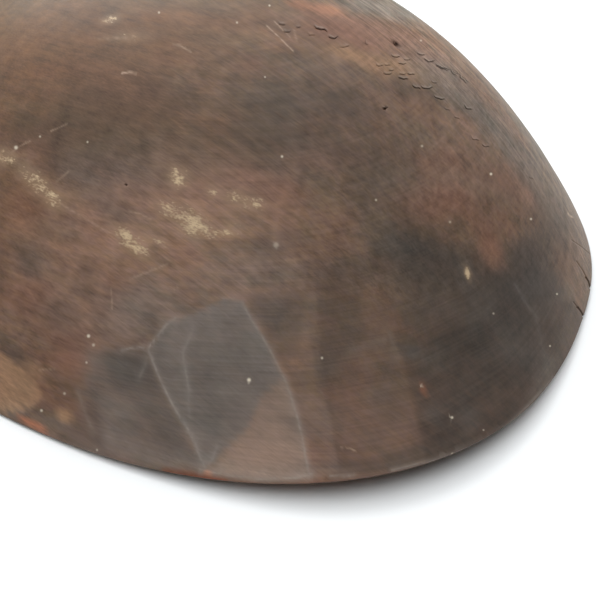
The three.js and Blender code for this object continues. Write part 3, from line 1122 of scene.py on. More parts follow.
def model_peg():
    peg = new_solid(
        "whittled_peg", bpy.ops.mesh.primitive_circle_add,
        vertices=PEG_SIDES, radius=PEG_FOOT_WIDTH * PEG_RADIUS, fill_type="NGON",
        location=(peg_x, 0, PEG_RECESS),
    )
    rise = heel_top_at(peg_x) + PEG_PROUD - PEG_RECESS
    edit(peg)
    done, size = 0, PEG_FOOT_WIDTH
    for share, width in PEG_RINGS:
        step = (share - done) * rise
        bpy.ops.mesh.extrude_region_move(TRANSFORM_OT_translate={"value": (0, 0, step)})
        bpy.ops.transform.resize(value=(width / size, width / size, 1), center_override=(peg_x, 0, 0))
        done, size = share, width
    leave_facing_out()
    points = points_of(peg)
    x, y = points[:, 0] - peg_x, points[:, 1]
    flat = flat_share(np.arctan2(y, x) + PEG_TWIST * points[:, 2] / rise, PEG_FLATS)
    flat -= WHITTLE_SHARE * (1 + smooth_noise(points, WHITTLE_LUMP, 41))
    points[:, 0] = peg_x + x * flat
    points[:, 1] = y * flat
    place_points(peg, points)
    return peg


wedge = model_wedge()
peg = model_peg()
cut(handle, wedge_plate("kerf", JOINT_GAP), "DIFFERENCE")
cut(handle, hollow_for_tenon, "DIFFERENCE")
cut(handle, peg_drill(), "DIFFERENCE")
for piece in (handle, wedge, peg):
    count(piece)

# %% [markdown]
# ## Smooth faces and soft corners
#
# Smooth shading hides the mesh where the wood is round. Edges that a blade left sharp, such as
# the mouth of the mortise, keep their corner, which the angle decides.

# %% Shading
for piece, angle in ((bowl, 34), (handle, 40), (wedge, 30), (peg, 35)):
    only(piece)
    bpy.ops.object.shade_smooth_by_angle(angle=math.radians(angle))
    print(piece.name, "keeps its corners above", angle, "degrees")

# %% [markdown]
# ## Stains, and painted light and shade
#
# Old grain, sweat and dirt have stained the wood in soft clouds, and use has rubbed it pale in places. Some
# clouds are painted light and shade instead: part of the dark ones is painted shade, and part of the pale
# ones is painted fill light on the near side. A warm tint is painted shade at the top left, against the
# lamp's sheen. Each cloud is an oval with a soft edge, placed by where the photo shows it. The clouds
# become numbers on the bowl's vertices, for the material to read, and fade out round the side that the
# photo doesn't show.


# %% Stains
def ovals(*rows):
    """Stains by x and y in the photo, half length and half width, turn and strength."""
    return [dict(at=row[:2], size=row[2:4], turn=row[4], strength=row[5]) for row in rows]


STAINS = {
    # Dark clouds: mostly dark stains, and in part painted shade, such as the broad darkening of the top
    # left.
    "dark_and_shade": ovals(
        (412, 250, 36, 22, 8, 1), (455, 268, 30, 18, 15, 0.75), (527, 258, 20, 22, 60, 0.9),
        (500, 305, 45, 28, 40, 0.8), (470, 360, 52, 46, 0, 0.8), (455, 420, 38, 30, -20, 0.85),
        (520, 350, 34, 40, 30, 0.7), (105, 118, 60, 26, -5, 0.55), (60, 55, 110, 50, 0, 0.25),
        (45, 130, 45, 18, -18, 0.45), (170, 150, 60, 18, 10, 0.4), (255, 125, 42, 36, 15, 0.45),
        (330, 105, 50, 16, 5, 0.6), (352, 148, 50, 20, 10, 0.4), (375, 210, 30, 35, 20, 0.35),
        (105, 205, 34, 13, 30, 0.45), (28, 252, 26, 16, 32, 0.55), (113, 15, 11, 7, 35, 0.6),
        (285, 312, 17, 20, 50, 0.5), (540, 285, 24, 14, 40, 0.6), (130, 370, 26, 20, 15, 0.55),
        (160, 432, 24, 16, 25, 0.4), (15, 362, 18, 7, 45, 0.7), (52, 420, 20, 8, 25, 0.15),
        (108, 166, 56, 18, 8, 0.55), (552, 228, 16, 30, -25, 0.45), (272, 238, 26, 16, 0, 0.35),
        (300, 412, 38, 13, 0, 0.3), (530, 288, 28, 11, 15, 0.4), (85, 92, 26, 10, 0, 0.35),
        (165, 90, 30, 16, 10, 0.25), (262, 66, 40, 14, 5, 0.25), (340, 445, 40, 24, 0, 0.3),
        (210, 410, 14, 24, -20, 0.3), (138, 142, 38, 11, 0, 0.3), (280, 128, 24, 13, 20, 0.3),
        (345, 118, 12, 9, 0, 0.3), (60, 222, 26, 15, 20, 0.35), (85, 285, 20, 16, 30, 0.3),
        (64, 318, 22, 16, 30, 0.45), (513, 290, 24, 12, 20, 0.6), (430, 283, 30, 10, 10, 0.35),
        (405, 90, 30, 10, 18, 0.4), (472, 112, 26, 9, 38, 0.2), (340, 265, 26, 18, 0, 0.3),
        (265, 95, 30, 12, 5, 0.35), (25, 172, 14, 10, 30, 0.2), (30, 22, 60, 24, -10, 0.3),
        (230, 160, 60, 30, 0, 0.15), (235, 408, 24, 14, 0, 0.2), (430, 305, 40, 20, 0, 0.15),
        (300, 100, 30, 12, 0, 0.2), (76, 175, 20, 8, 20, 0.4), (105, 170, 50, 22, 10, 0.25),
        (315, 422, 22, 12, 0, 0.25), (388, 432, 16, 8, 0, 0.3), (195, 125, 9, 26, -10, 0.35),
        (150, 30, 36, 10, -5, 0.35), (75, 24, 28, 14, 0, 0.3), (268, 250, 30, 8, -15, 0.3),
        (250, 196, 18, 8, 0, 0.2), (385, 400, 12, 22, 0, 0.3), (140, 293, 12, 8, 0, 0.3),
        (525, 280, 26, 8, -15, 0.4), (262, 308, 14, 12, 0, 0.35), (30, 268, 16, 9, 20, 0.35),
        (410, 285, 16, 9, 0, 0.3), (432, 452, 44, 8, -14, 0.6), (345, 466, 54, 6, 0, 0.4),
        (280, 28, 14, 9, 0, 0.3), (386, 178, 30, 16, 0, 0.25), (508, 416, 20, 11, -40, 0.8),
        (300, 424, 20, 8, 0, 0.25), (560, 232, 9, 16, -20, 0.4),
    ),
    "red": ovals(
        (352, 30, 44, 14, 12, 0.9), (420, 55, 26, 9, 30, 0.55), (442, 165, 28, 15, 18, 0.55),
        (440, 200, 36, 17, 0, 0.78), (492, 252, 11, 20, -12, 0.8), (480, 225, 16, 12, 20, 0.5),
        (262, 185, 32, 16, 15, 0.6), (285, 200, 18, 24, 0, 0.3), (95, 275, 48, 16, 35, 0.45),
        (75, 345, 26, 26, 20, 0.75), (35, 300, 30, 20, 30, 0.55), (25, 205, 22, 22, 30, 0.5),
        (90, 60, 58, 18, -10, 0.5), (115, 90, 50, 22, -8, 0.6), (150, 20, 130, 18, 2, 0.55),
        (50, 135, 46, 14, -15, 0.45), (320, 158, 34, 12, 5, 0.45), (180, 50, 45, 14, 8, 0.45),
        (250, 66, 16, 6, 0, 0.5), (345, 380, 24, 34, 0, 0.35), (330, 450, 34, 20, 0, 0.15),
        (522, 190, 30, 16, 50, 0.6), (18, 388, 26, 13, 30, 0.4), (400, 418, 90, 24, 0, 0.28),
        (280, 456, 44, 14, 0, 0.3), (34, 268, 34, 14, 35, 0.35), (62, 34, 80, 14, -5, 0.55),
        (110, 312, 20, 12, 30, 0.4), (302, 350, 22, 24, 0, 0.3), (172, 140, 9, 5, 0, 0.45),
        (90, 180, 64, 24, 20, 0.4), (28, 225, 34, 18, 30, 0.45), (95, 224, 50, 18, 20, 0.45),
        (150, 105, 70, 26, 5, 0.3), (378, 325, 20, 26, 0, 0.35), (105, 308, 16, 10, 30, 0.35),
        (185, 178, 76, 34, 5, 0.55), (490, 178, 20, 14, 45, 0.4), (566, 240, 14, 40, -15, 0.4),
        (270, 420, 40, 50, 0, 0.4),
    ),
    "grey": ovals(
        (14, 4, 30, 9, -10, 0.5), (150, 5, 100, 8, 3, 0.45), (458, 92, 50, 15, 42, 0.6),
        (380, 8, 40, 9, 15, 0.6), (520, 160, 62, 10, 55, 0.5), (335, 70, 40, 12, 5, 0.35),
        (250, 270, 46, 20, 0, 0.45), (300, 160, 40, 25, 0, 0.35), (540, 290, 20, 26, 45, 0.35),
        (411, 353, 7, 6, 0, 0.75), (138, 318, 40, 28, -25, 0.55), (340, 275, 60, 16, 0, 0.35),
        (440, 160, 70, 50, 10, 0.22), (450, 300, 60, 40, 10, 0.3), (438, 308, 20, 16, 0, 0.4),
        (330, 366, 14, 14, 0, 0.4), (266, 308, 20, 14, 0, 0.4), (345, 472, 90, 9, 0, 0.35),
        (525, 285, 30, 26, 0, 0.35), (532, 380, 20, 30, 35, 0.4), (110, 446, 90, 13, 13, 0.45),
        (168, 302, 60, 24, 0, 0.25), (430, 262, 34, 18, 0, 0.3), (202, 45, 26, 14, 0, 0.3),
        (330, 320, 30, 30, 0, 0.2), (160, 462, 60, 9, 8, 0.35), (104, 420, 26, 34, 10, 0.5),
    ),
    "tan": ovals(
        (378, 62, 36, 9, 14, 0.55), (345, 52, 18, 5, 15, 0.5), (64.5, 415, 7, 5.5, 20, 1),
        (493, 258, 5, 10, -15, 0.15), (25, 375, 14, 9, 40, 0.5), (26, 20, 50, 26, -10, 0.15),
    ),
    "orange": ovals(
        (300, 4, 12, 5, 10, 0.35), (325, 10, 16, 5, 5, 0.4), (423, 389, 3, 6, -20, 0.4),
        (31, 423, 11, 3, 26, 1), (40, 428, 8, 2.6, 35, 0.8), (208, 473, 4, 2.5, 10, 0.8),
    ),
    # A warmer, darker tint, strongest at the top left: the wood's warmer tone there, and painted shade
    # against the sheen of the lamp and the sky.
    "warm_and_shaded": ovals(
        (70, 14, 170, 56, 0, 1.1), (40, 90, 110, 50, 0, 0.5), (20, 205, 46, 40, 20, 0.3),
        (572, 245, 20, 70, -18, 0.25), (160, 130, 110, 36, 5, 0.4),
    ),
    # Paler clouds: some are wood rubbed pale, others are painted fill light that brightens the near side.
    "worn_and_lightened": ovals(
        (35, 418, 36, 10, 22, 0.6), (110, 456, 50, 8, 14, 0.45), (210, 471, 50, 7, 6, 0.3),
        (120, 236, 14, 18, 0, 0.35), (282, 350, 22, 36, -15, 0.55), (98, 362, 10, 13, 0, 0.3),
        (375, 366, 24, 22, 0, 0.3), (515, 342, 26, 24, 30, 0.3), (470, 418, 10, 12, 0, 0.3),
        (330, 220, 34, 30, 0, 0.2), (384, 235, 22, 20, 5, 0.35), (300, 350, 20, 34, -10, 0.4),
        (115, 340, 30, 26, 0, 0.25), (545, 372, 10, 16, 30, 0.3), (420, 80, 40, 40, 30, 0.15),
        (448, 138, 26, 17, 20, 0.3), (470, 186, 32, 11, 12, 0.35), (142, 244, 24, 11, 25, 0.35),
        (214, 228, 24, 13, 0, 0.3), (182, 463, 46, 8, 8, 0.3), (466, 274, 9, 16, -10, 0.35),
        (180, 222, 70, 22, 20, 0.2), (480, 308, 12, 20, 20, 0.25), (15, 225, 20, 16, 30, 0.35),
        (20, 165, 24, 12, 30, 0.3), (174, 172, 14, 10, 0, 0.35), (440, 135, 26, 22, 30, 0.2),
        (500, 190, 50, 12, 40, 0.15), (285, 322, 12, 12, 0, 0.3), (304, 354, 11, 9, 0, 0.3),
        (145, 343, 10, 14, 0, 0.3), (100, 316, 10, 18, 0, 0.3), (300, 10, 30, 7, 10, 0.25),
        (546, 372, 9, 18, 30, 0.35), (424, 356, 24, 14, 0, 0.4), (482, 324, 12, 12, 0, 0.3),
        (518, 356, 24, 10, 0, 0.3), (568, 334, 8, 20, 20, 0.35), (526, 240, 12, 10, 0, 0.3),
        (566, 292, 10, 8, 0, 0.3), (395, 250, 34, 7, 0, 0.28), (194, 228, 24, 8, 25, 0.25),
        (266, 368, 12, 20, 20, 0.25), (318, 378, 24, 9, 0, 0.25), (172, 240, 34, 12, 10, 0.15),
        (490, 150, 24, 22, 40, 0.2), (420, 185, 40, 14, 0, 0.2), (188, 78, 12, 12, 0, 0.25),
        (255, 42, 34, 7, 0, 0.2), (370, 10, 22, 7, 10, 0.35), (105, 372, 30, 12, 0, 0.25),
        (335, 252, 22, 12, 0, 0.3), (305, 355, 12, 14, 0, 0.35), (372, 320, 18, 22, 0, 0.25),
        (433, 417, 9, 9, 0, 0.4), (200, 232, 26, 14, 15, 0.25), (88, 362, 12, 40, 0, 0.3),
        (20, 330, 24, 14, 35, 0.35), (395, 12, 26, 8, 25, 0.35), (443, 60, 22, 8, 35, 0.3),
    ),
    "cream": ovals(
        (179, 176, 10, 12, 30, 0.95), (193, 225, 21, 13, 35, 1), (172, 211, 16, 9, 30, 0.8),
        (225, 232, 16, 5, 0, 0.95), (246, 200, 22, 6.5, 8, 0.85), (214, 192, 8, 6, 40, 0.7),
        (128, 236, 20, 6, 40, 1), (136, 250, 20, 6, 40, 1.05), (152, 242, 16, 6, 20, 0.72),
        (6, 159, 11, 8, 30, 0.85), (35, 182, 22, 11, 42, 0.82), (54, 198, 12, 8, 40, 0.85),
        (110, 19.5, 9, 3.4, -12, 1), (467.5, 273, 3, 6.5, -12, 1.15), (240, 222, 14, 7, 20, 0.42),
        (128, 37, 22, 5, -2, 0.42), (25, 388, 10, 7, 30, 0.4),
    ),
}
print(sum(len(stains) for stains in STAINS.values()), "stains of", len(STAINS), "kinds")

# %% [markdown]
# ## The tones of the flats
#
# Each flat of the knife faces its own way, so the light and shade on it differ. That light and shade is
# painted as a tone that ends in a line at the flat's edge. The outlines follow those edges in the photo.
# Other outlines hold a tan patch, the scraped near side and a painted sheen along the far edge. A flat that
# runs out into the dome has a tone that fades in from above. The rim is rubbed to the red wood along three
# short lines.


# %% Tones of the flats
def tone(strength, feather, *outline, fade=(-100, -50)):
    """An even tone within an outline, with the width of its edge and the rows that it fades in over."""
    return dict(outline=list(outline), strength=strength, feather=feather, fade=fade)


FACET_TONES = {
    # The grey tone of the middle flat, and a broader one round it: painted light and shade of a flat turned
    # its own way, over the wood's own grey.
    "grey": [
        tone(
            0.9, 7, (149, 350), (168, 323), (190, 315), (224, 299), (242, 302), (262, 336), (284, 380),
            (262, 398), (248, 430), (214, 462), (204, 464), (170, 400),
        ),
        tone(
            0.6, 22, (88, 352), (148, 351), (170, 398), (204, 466), (150, 462), (98, 446), (82, 395),
        ),
    ],
    # Darker tones of the flats, and of the wood to the right of them: painted shade.
    "dark_and_shade": [
        tone(
            0.4, 15, (105, 354), (148, 352), (168, 398), (203, 464), (178, 458), (150, 425), (112, 385),
        ),
        tone(
            0.45, 8, (398, 345), (570, 300), (600, 330), (565, 392), (520, 430), (470, 460), (429, 470),
            (412, 395),
        ),
        tone(
            0.22, 7, (310, 345), (322, 400), (337, 478), (420, 466), (400, 345), (360, 320),
        ),
        tone(
            0.17, 6, (246, 297), (262, 292), (309, 291), (304, 330), (298, 350), (284, 370), (264, 334),
        ),
        tone(
            0.2, 8, (316, 284), (352, 284), (366, 330), (360, 346), (338, 362), (323, 384),
        ),
    ],
    # A painted highlight: the lit tone of the flat at the lower right.
    "painted_highlight": [
        tone(
            0.75, 12, (284, 376), (293, 400), (304, 440), (310, 482), (262, 483), (214, 470),
            (224, 452), (250, 428), (262, 398),
        ),
    ],
    "tan": [
        tone(
            0.75, 5, (-30, 330), (0, 351), (14, 363), (30, 377), (41, 391), (42, 401), (24, 407),
            (-2, 413), (-40, 400),
        ),
    ],
    # Painted fill light: the first outline brightens the whole near side and the second the flats. The last
    # three paint the lighter tones of lit flats, each ending at a flat's edge.
    "worn_and_lightened": [
        tone(
            0.7, 60, (70, 160), (180, 135), (250, 165), (290, 210), (308, 290), (308, 330), (60, 340),
            (20, 260),
        ),
        tone(
            0.62, 12, (110, 352), (148, 350), (175, 318), (224, 299), (245, 300), (292, 388),
            (312, 480), (205, 475), (104, 446), (98, 400),
        ),
        tone(
            0.48, 3, (242, 250), (306, 250), (309, 335), (316, 370), (325, 400), (332, 425), (339, 470),
            (311, 482), (304, 448), (298, 420), (290, 390), (277, 364), (246, 304), fade=(270, 345),
        ),
        tone(
            0.2, 4, (306, 250), (400, 250), (395, 335), (405, 372), (411, 400), (418, 425), (426, 462),
            (339, 472), (332, 425), (325, 400), (316, 370), (309, 335), fade=(280, 350),
        ),
        tone(
            0.3, 4, (305, 290), (316, 290), (318, 340), (326, 390), (338, 470), (312, 480), (306, 440),
            (298, 410), (296, 380), (300, 340),
        ),
    ],
    "scraped": [
        tone(
            1, 30, (60, 345), (150, 345), (175, 312), (240, 295), (310, 285), (400, 300), (560, 270),
            (600, 340), (540, 430), (400, 490), (200, 500), (60, 460),
        ),
    ],
    # A narrow band along the far edge: a painted sheen, paler and greyer, for grazing light on the wood.
    "edge_sheen": [
        tone(
            1, 26, (330, -40), (640, -40), (640, 240), (582, 225), (556, 170), (518, 118), (478, 72),
            (436, 32), (385, 0),
        ),
    ],
    # A broad band along the far edge, where the bowl turns away: the wood's weathered streaks, and a
    # painted sheen that makes the band paler and greyer.
    "weathered_and_sheen": [
        tone(
            1, 50, (300, -30), (640, -30), (640, 330), (590, 330), (568, 245), (512, 165), (455, 105),
            (400, 55), (330, 8),
        ),
    ],
}
RIM_WEAR = lines(
    (2.4, 0.9, (166, 470), (200, 476.5), (226, 481.5)),
    (1.6, 0.25, (226, 482), (262, 485.5), (290, 485.5), (320, 484)),
    (1.8, 0.9, (18, 420), (30, 425), (45, 433)),
)
print(sum(len(tones) for tones in FACET_TONES.values()), "tones of the flats")

# %% [markdown]
# ## From places to masks
#
# A stain, a tone or a line becomes a mask: one value for each vertex, from how far its place in
# the photo lies from the middle of the stain, the edge of the outline or the line. Another mask
# tells how much the photo says of a vertex, and fades out round the side that it doesn't show.

# %% From places to masks
OVAL_FALL, OVAL_EDGE = 0.65, 1.5
PAINT_FADE = 0.5
SHOWN_DEPTH, SHOWN_LIFT = 3.6 * MM, 1.3
RIM_FROM = 0.97


def soft_oval(places, stain):
    return stain["strength"] * np.exp(-OVAL_FALL * out_of_oval(places, stain) ** OVAL_EDGE)


def inside_outline(places, outline):
    """Tells which pixel places lie within an outline, by how often a ray crosses it."""
    inside = np.zeros(len(places), dtype=bool)
    for (x0, y0), (x1, y1) in zip(outline, outline[1:] + outline[:1]):
        spans = (places[:, 1] < y0) != (places[:, 1] < y1)
        crossing = x0 + (places[:, 1] - y0) * (x1 - x0) / ((y1 - y0) or 1e-9)
        inside ^= spans & (places[:, 0] < crossing)
    return inside


def soft_outline(places, tone):
    """The mask of a tone, which falls off across the outline's edge."""
    outline = tone["outline"]
    away = distance_to_path(places, outline + outline[:1])
    depth = np.where(inside_outline(places, outline), away, -away)
    step = np.clip(0.5 + depth / tone["feather"], 0, 1)
    first, last = tone["fade"]
    fade = np.clip((places[:, 1] - first) / (last - first), 0, 1)
    return tone["strength"] * fade * step * step * (3 - 2 * step)


def soft_line(places, line, width):
    return line["strength"] * line_profile(places, line["path"], width)


def photo_share(points, normals):
    """How much the photo says of each place: 1 on the side it shows, and less round the edge."""
    away = np.array(camera_place) - points
    facing = np.einsum("ij,ij->i", away, normals) / np.linalg.norm(away, axis=1)
    share = np.clip(1 + facing / PAINT_FADE, 0, 1)
    way_out = dome_share(OUTSIDE, points[:, 0], points[:, 1])
    reach = SHOWN_DEPTH + SHOWN_LIFT * rim_lift(turn_of(points))
    off_dome = np.abs(points[:, 2] - dome_height(OUTSIDE, way_out))
    on_back = (off_dome < reach) | (way_out > RIM_FROM)
    return share * share * (3 - 2 * share) * on_back


print("the photo fully shows", int((photo_share(points_of(bowl), normals_of(bowl)) == 1).sum()), "vertices")

# %% [markdown]
# ## Painting the bowl
#
# Stains of one kind add up where they overlap, and of lines the strongest counts. The edges of
# the clouds are warped and made ragged by noise, because no stain has the outline of an oval.
# Thin lines are broken here and there, as a scratch is where the blade skipped.

# %% Painting the bowl
STAIN_WARP, WARP_LUMP = 7, 9 * MM
STAIN_RAGGED, RAGGED_LUMP = 2.5, 2 * MM
SMALL_STAIN = 6
LINE_KEPT, LINE_MOST = 0.75, 1.2
SLOW_BREAKS, QUICK_BREAKS, BREAK_LUMP = 0.6, 0.8, 0.7 * MM
RIDGE_WIDE, RIDGE_WIDE_SHARE = 2.4, 0.38
RIDGE_THIN, RIDGE_THIN_SHARE = 0.75, 0.55
THINNEST_SCRATCH = 0.8
SPECK_CORE = 0.8
CRACK_BELOW, CRACK_SPREAD = 0.2, 0.5
CRACK_LEAST, CRACK_MORE = 0.3, 0.7
PALE_ABOVE, PALE_SPREAD, PALE_SHARE = 1.3, 0.7, 0.45
PAINT_LIMIT = 1.3
SOFT_PAINTS = ("dark_and_shade", "red", "grey", "tan", "worn_and_lightened", "scraped", "weathered_and_sheen", "warm_and_shaded", "edge_sheen")
SHARP_PAINTS = ("orange", "cream", "painted_highlight", "rubbed", "speck", "pale_edge_and_highlight", "scratch", "shaded_crack")


def add_up(paint, name, cover):
    """Covers a part of what a paint has left bare."""
    paint[name] = 1 - (1 - paint[name]) * (1 - np.minimum(cover, 1))


def keep_most(paint, name, cover):
    paint[name] = np.maximum(paint[name], cover)


def paint_stains(paint, places, warped):
    """The soft clouds and the tones of the flats, small stains without the warp."""
    for name, stains in STAINS.items():
        lay = keep_most if name == "cream" else add_up
        for stain in stains:
            small = min(stain["size"]) < SMALL_STAIN
            lay(paint, name, soft_oval(places if small else warped, stain))
    for name, tones in FACET_TONES.items():
        for tone in tones:
            add_up(paint, name, soft_outline(places, tone))


def paint_lines(paint, places, broken):
    """The pale ridges and painted highlights, scratches, rubbed rim and specks. Thin lines are broken here
    and there.
    """
    for pale_edge_and_highlight in PALE_RIDGES_AND_HIGHLIGHTS:
        thin = RIDGE_THIN_SHARE * soft_line(places, pale_edge_and_highlight, RIDGE_THIN * pale_edge_and_highlight["width"]) * broken
        wide = RIDGE_WIDE_SHARE * soft_line(places, pale_edge_and_highlight, RIDGE_WIDE * pale_edge_and_highlight["width"])
        keep_most(paint, "pale_edge_and_highlight", thin + wide)
    for scratch in SCRATCHES:
        width = max(RIDGE_THIN * scratch["width"], THINNEST_SCRATCH)
        keep_most(paint, "scratch", soft_line(places, scratch, width) * broken)
    for wear in RIM_WEAR:
        keep_most(paint, "rubbed", soft_line(places, wear, wear["width"]))
    for speck in SPECKS:
        away = np.linalg.norm(places - np.array(speck["at"]), axis=1) / (SPECK_CORE * speck["size"])
        keep_most(paint, "speck", speck["strength"] * np.exp(-(away**3)))


def paint_cracks(paint, places):
    """Painted shade in the cracks, with painted highlights on the lips over them, and painted shade in the
    pits and the checks.
    """
    for scale in TORN_SCALES:
        mask, below = scale_mask(scale, places)
        # Painted shade just below each crack, and a painted highlight on the lip above it.
        dark_and_shade = np.exp(-(((below - CRACK_BELOW) / CRACK_SPREAD) ** 2))
        keep_most(paint, "shaded_crack", mask * dark_and_shade * min(1, CRACK_LEAST + CRACK_MORE * scale["depth"]))
        painted_highlight = np.exp(-(((below + PALE_ABOVE) / PALE_SPREAD) ** 2))
        keep_most(paint, "pale_edge_and_highlight", PALE_SHARE * mask * painted_highlight * scale["depth"])
    for pit in PITS:
        keep_most(paint, "shaded_crack", pit["depth"] * np.exp(-out_of_oval(places, pit)))
    for check in END_CHECKS:
        keep_most(paint, "shaded_crack", soft_line(places, check, check["width"]))


def keep_paint(piece, name, values):
    layer = piece.data.attributes.new(name, "FLOAT", "POINT")
    layer.data.foreach_set("value", values.astype(np.float32))


def paint_bowl(piece):
    points = points_of(piece)
    places = photo_places(points)
    share = photo_share(points, normals_of(piece))
    drift = np.stack([smooth_noise(points, WARP_LUMP, seed) for seed in (51, 52)], axis=1)
    ragged = np.stack([smooth_noise(points, RAGGED_LUMP, seed) for seed in (53, 54)], axis=1)
    broken = LINE_KEPT + SLOW_BREAKS * ragged[:, 0]
    broken += QUICK_BREAKS * smooth_noise(points, BREAK_LUMP, 55)
    paint = {name: np.zeros(len(points)) for name in SOFT_PAINTS + SHARP_PAINTS}
    paint_stains(paint, places, places + STAIN_WARP * drift + STAIN_RAGGED * ragged)
    paint_lines(paint, places, np.clip(broken, 0, LINE_MOST))
    paint_cracks(paint, places)
    for name, values in paint.items():
        kept = share if name in SOFT_PAINTS else share == 1
        keep_paint(piece, name, np.clip(values, 0, PAINT_LIMIT) * kept)
    keep_paint(piece, "unseen", 1 - share)
    print("painted", len(points), "vertices with", len(paint), "kinds of paint")


paint_bowl(bowl)

# %% [markdown]
# ## Tools for the materials
#
# Node trees are long to write out, so short helpers add a node, do a sum, mix two colours and
# draw fine noise out along an axis. Colours are given as they look on a screen, from 0 to 255,
# and turned to linear light.


# %% Helpers for nodes
def screen(red, green, blue):
    """A colour as it looks on a screen, as the linear light that nodes use."""
    shares = (red / 255, green / 255, blue / 255)
    return tuple(s / 12.92 if s <= 0.04045 else ((s + 0.055) / 1.055) ** 2.4 for s in shares) + (1,)


def put(tree, kind, inputs=None, **settings):
    """Adds a node. An input is a value, or an output socket to link."""
    node = tree.nodes.new(kind)
    for name, value in settings.items():
        setattr(node, name, value)
    for name, value in (inputs or {}).items():
        if isinstance(value, bpy.types.NodeSocket):
            tree.links.new(value, node.inputs[name])
        else:
            node.inputs[name].default_value = value
    return node


def sums(tree, operation, a, b, clamp=False):
    return put(tree, "ShaderNodeMath", {0: a, 1: b}, operation=operation, use_clamp=clamp).outputs[0]


def times(tree, a, b, clamp=False):
    return sums(tree, "MULTIPLY", a, b, clamp)


def plus(tree, a, b):
    return sums(tree, "ADD", a, b)


def minus(tree, a, b):
    return sums(tree, "SUBTRACT", a, b)


def mixed(tree, share, a, b, blend_type="MIX"):
    inputs = {0: share, 6: a, 7: b}
    node = put(tree, "ShaderNodeMix", inputs, data_type="RGBA", blend_type=blend_type)
    return node.outputs[2]


def ranged(tree, value, low, high, to_low=0.0, to_high=1.0):
    """Stretches a value from one range to another, and keeps it there."""
    inputs = {0: value, 1: low, 2: high, 3: to_low, 4: to_high}
    return put(tree, "ShaderNodeMapRange", inputs, interpolation_type="SMOOTHSTEP").outputs[0]


def stretched(tree, place, factors, operation="MULTIPLY"):
    return put(tree, "ShaderNodeVectorMath", {0: place, 1: factors}, operation=operation).outputs[0]


def fine_noise(tree, place, squeeze, per_metre, detail, roughness):
    """Noise squeezed by a factor along each axis, with so many lines to the metre."""
    drawn = stretched(tree, place, squeeze)
    scaled = put(tree, "ShaderNodeVectorMath", {0: drawn, "Scale": per_metre}, operation="SCALE")
    inputs = {"Vector": scaled.outputs[0], "Scale": 1.0, "Detail": detail, "Roughness": roughness}
    return put(tree, "ShaderNodeTexNoise", inputs).outputs[0]


def new_group(name, inputs, outputs):
    """A node group with named sockets, given as (name, socket type, value)."""
    group = bpy.data.node_groups.new(name, "ShaderNodeTree")
    for title, kind, value in inputs:
        socket = group.interface.new_socket(title, in_out="INPUT", socket_type=kind)
        if value is not None:
            socket.default_value = value
    for title in outputs:
        group.interface.new_socket(title, in_out="OUTPUT", socket_type=FLOAT)
    return group, group.nodes.new("NodeGroupInput").outputs, group.nodes.new("NodeGroupOutput").inputs


VECTOR, FLOAT = "NodeSocketVector", "NodeSocketFloat"
print("middle grey on a screen is", round(screen(128, 128, 128)[0], 3), "as linear light")

# %% [markdown]
# ## Grain
#
# A board's grain has two parts. Growth rings are shells round the tree's heart, seen as ovals
# where a carved face cuts them, and fibres are fine threads along the trunk. The group reads
# places in the trunk's own frame, with X along it and the heart on the axis.

# %% The grain group
RING_WOBBLE, WOBBLES_PER_METRE = 0.006, 30.0
THREADS_DRAWN = (("Threads", 0.045, 1.0), ("Fine Threads", 0.05, 3.2))


def grain_group():
    group, given, result = new_group(
        "timber_grain",
        [("Place", VECTOR, None), ("Ring Width", FLOAT, 0.001), ("Thread Width", FLOAT, 0.001)],
        ["Rings", "Threads", "Fine Threads"],
    )
    place = given["Place"]
    inputs = {"Vector": place, "Scale": WOBBLES_PER_METRE, "Detail": 2.0}
    slow = put(group, "ShaderNodeTexNoise", inputs).outputs[0]
    wobble = times(group, minus(group, slow, 0.5), RING_WOBBLE)
    across = stretched(group, place, (0, 1, 1))
    radius = put(group, "ShaderNodeVectorMath", {0: across}, operation="LENGTH").outputs["Value"]
    ring_number = sums(group, "DIVIDE", plus(group, radius, wobble), given["Ring Width"])
    inputs = {"W": ring_number, "Scale": 1.0, "Detail": 1.5}
    rings = put(group, "ShaderNodeTexNoise", inputs, noise_dimensions="1D")
    group.links.new(rings.outputs[0], result["Rings"])
    for title, stretch, finer in THREADS_DRAWN:
        per_metre = sums(group, "DIVIDE", finer, given["Thread Width"])
        threads = fine_noise(group, place, (stretch, 1, 1), per_metre, 3.0, 0.6)
        group.links.new(threads, result[title])
    return group


timber_grain = grain_group()
print("grain group with", len(timber_grain.nodes), "nodes")

# %% [markdown]
# ## Scraper marks and worn fibres
#
# A scraper leaves fine level lines round the bowl, and weather leaves streaks and hair-fine
# fibres that run the length of it. One group draws all three, as noise squeezed along an axis.
# Worn wood isn't rubbed off evenly, and a second group breaks the edge of a patch into flecks.

# %% Scraper and wear groups
WORN_LEVEL = 0.62


def line_group():
    group, given, result = new_group(
        "drawn_lines",
        [("Place", VECTOR, None), ("Line Width", FLOAT, 0.0004), ("Squeeze", VECTOR, None),
         ("Detail", FLOAT, 2.0)],
        ["Lines"],
    )
    per_metre = sums(group, "DIVIDE", 1.0, given["Line Width"])
    lines = fine_noise(group, given["Place"], given["Squeeze"], per_metre, given["Detail"], 0.62)
    group.links.new(lines, result["Lines"])
    return group


def worn_group():
    group, given, result = new_group(
        "worn_threads",
        [("Patch", FLOAT, 0.0), ("Threads", FLOAT, 0.5), ("Fine Threads", FLOAT, 0.5),
         ("Softness", FLOAT, 0.2)],
        ["Mask"],
    )
    rough = plus(group, given["Threads"], given["Fine Threads"])
    level = plus(group, given["Patch"], minus(group, rough, 1.0))
    low = minus(group, WORN_LEVEL, given["Softness"])
    high = plus(group, WORN_LEVEL, given["Softness"])
    group.links.new(ranged(group, level, low, high), result["Mask"])
    return group


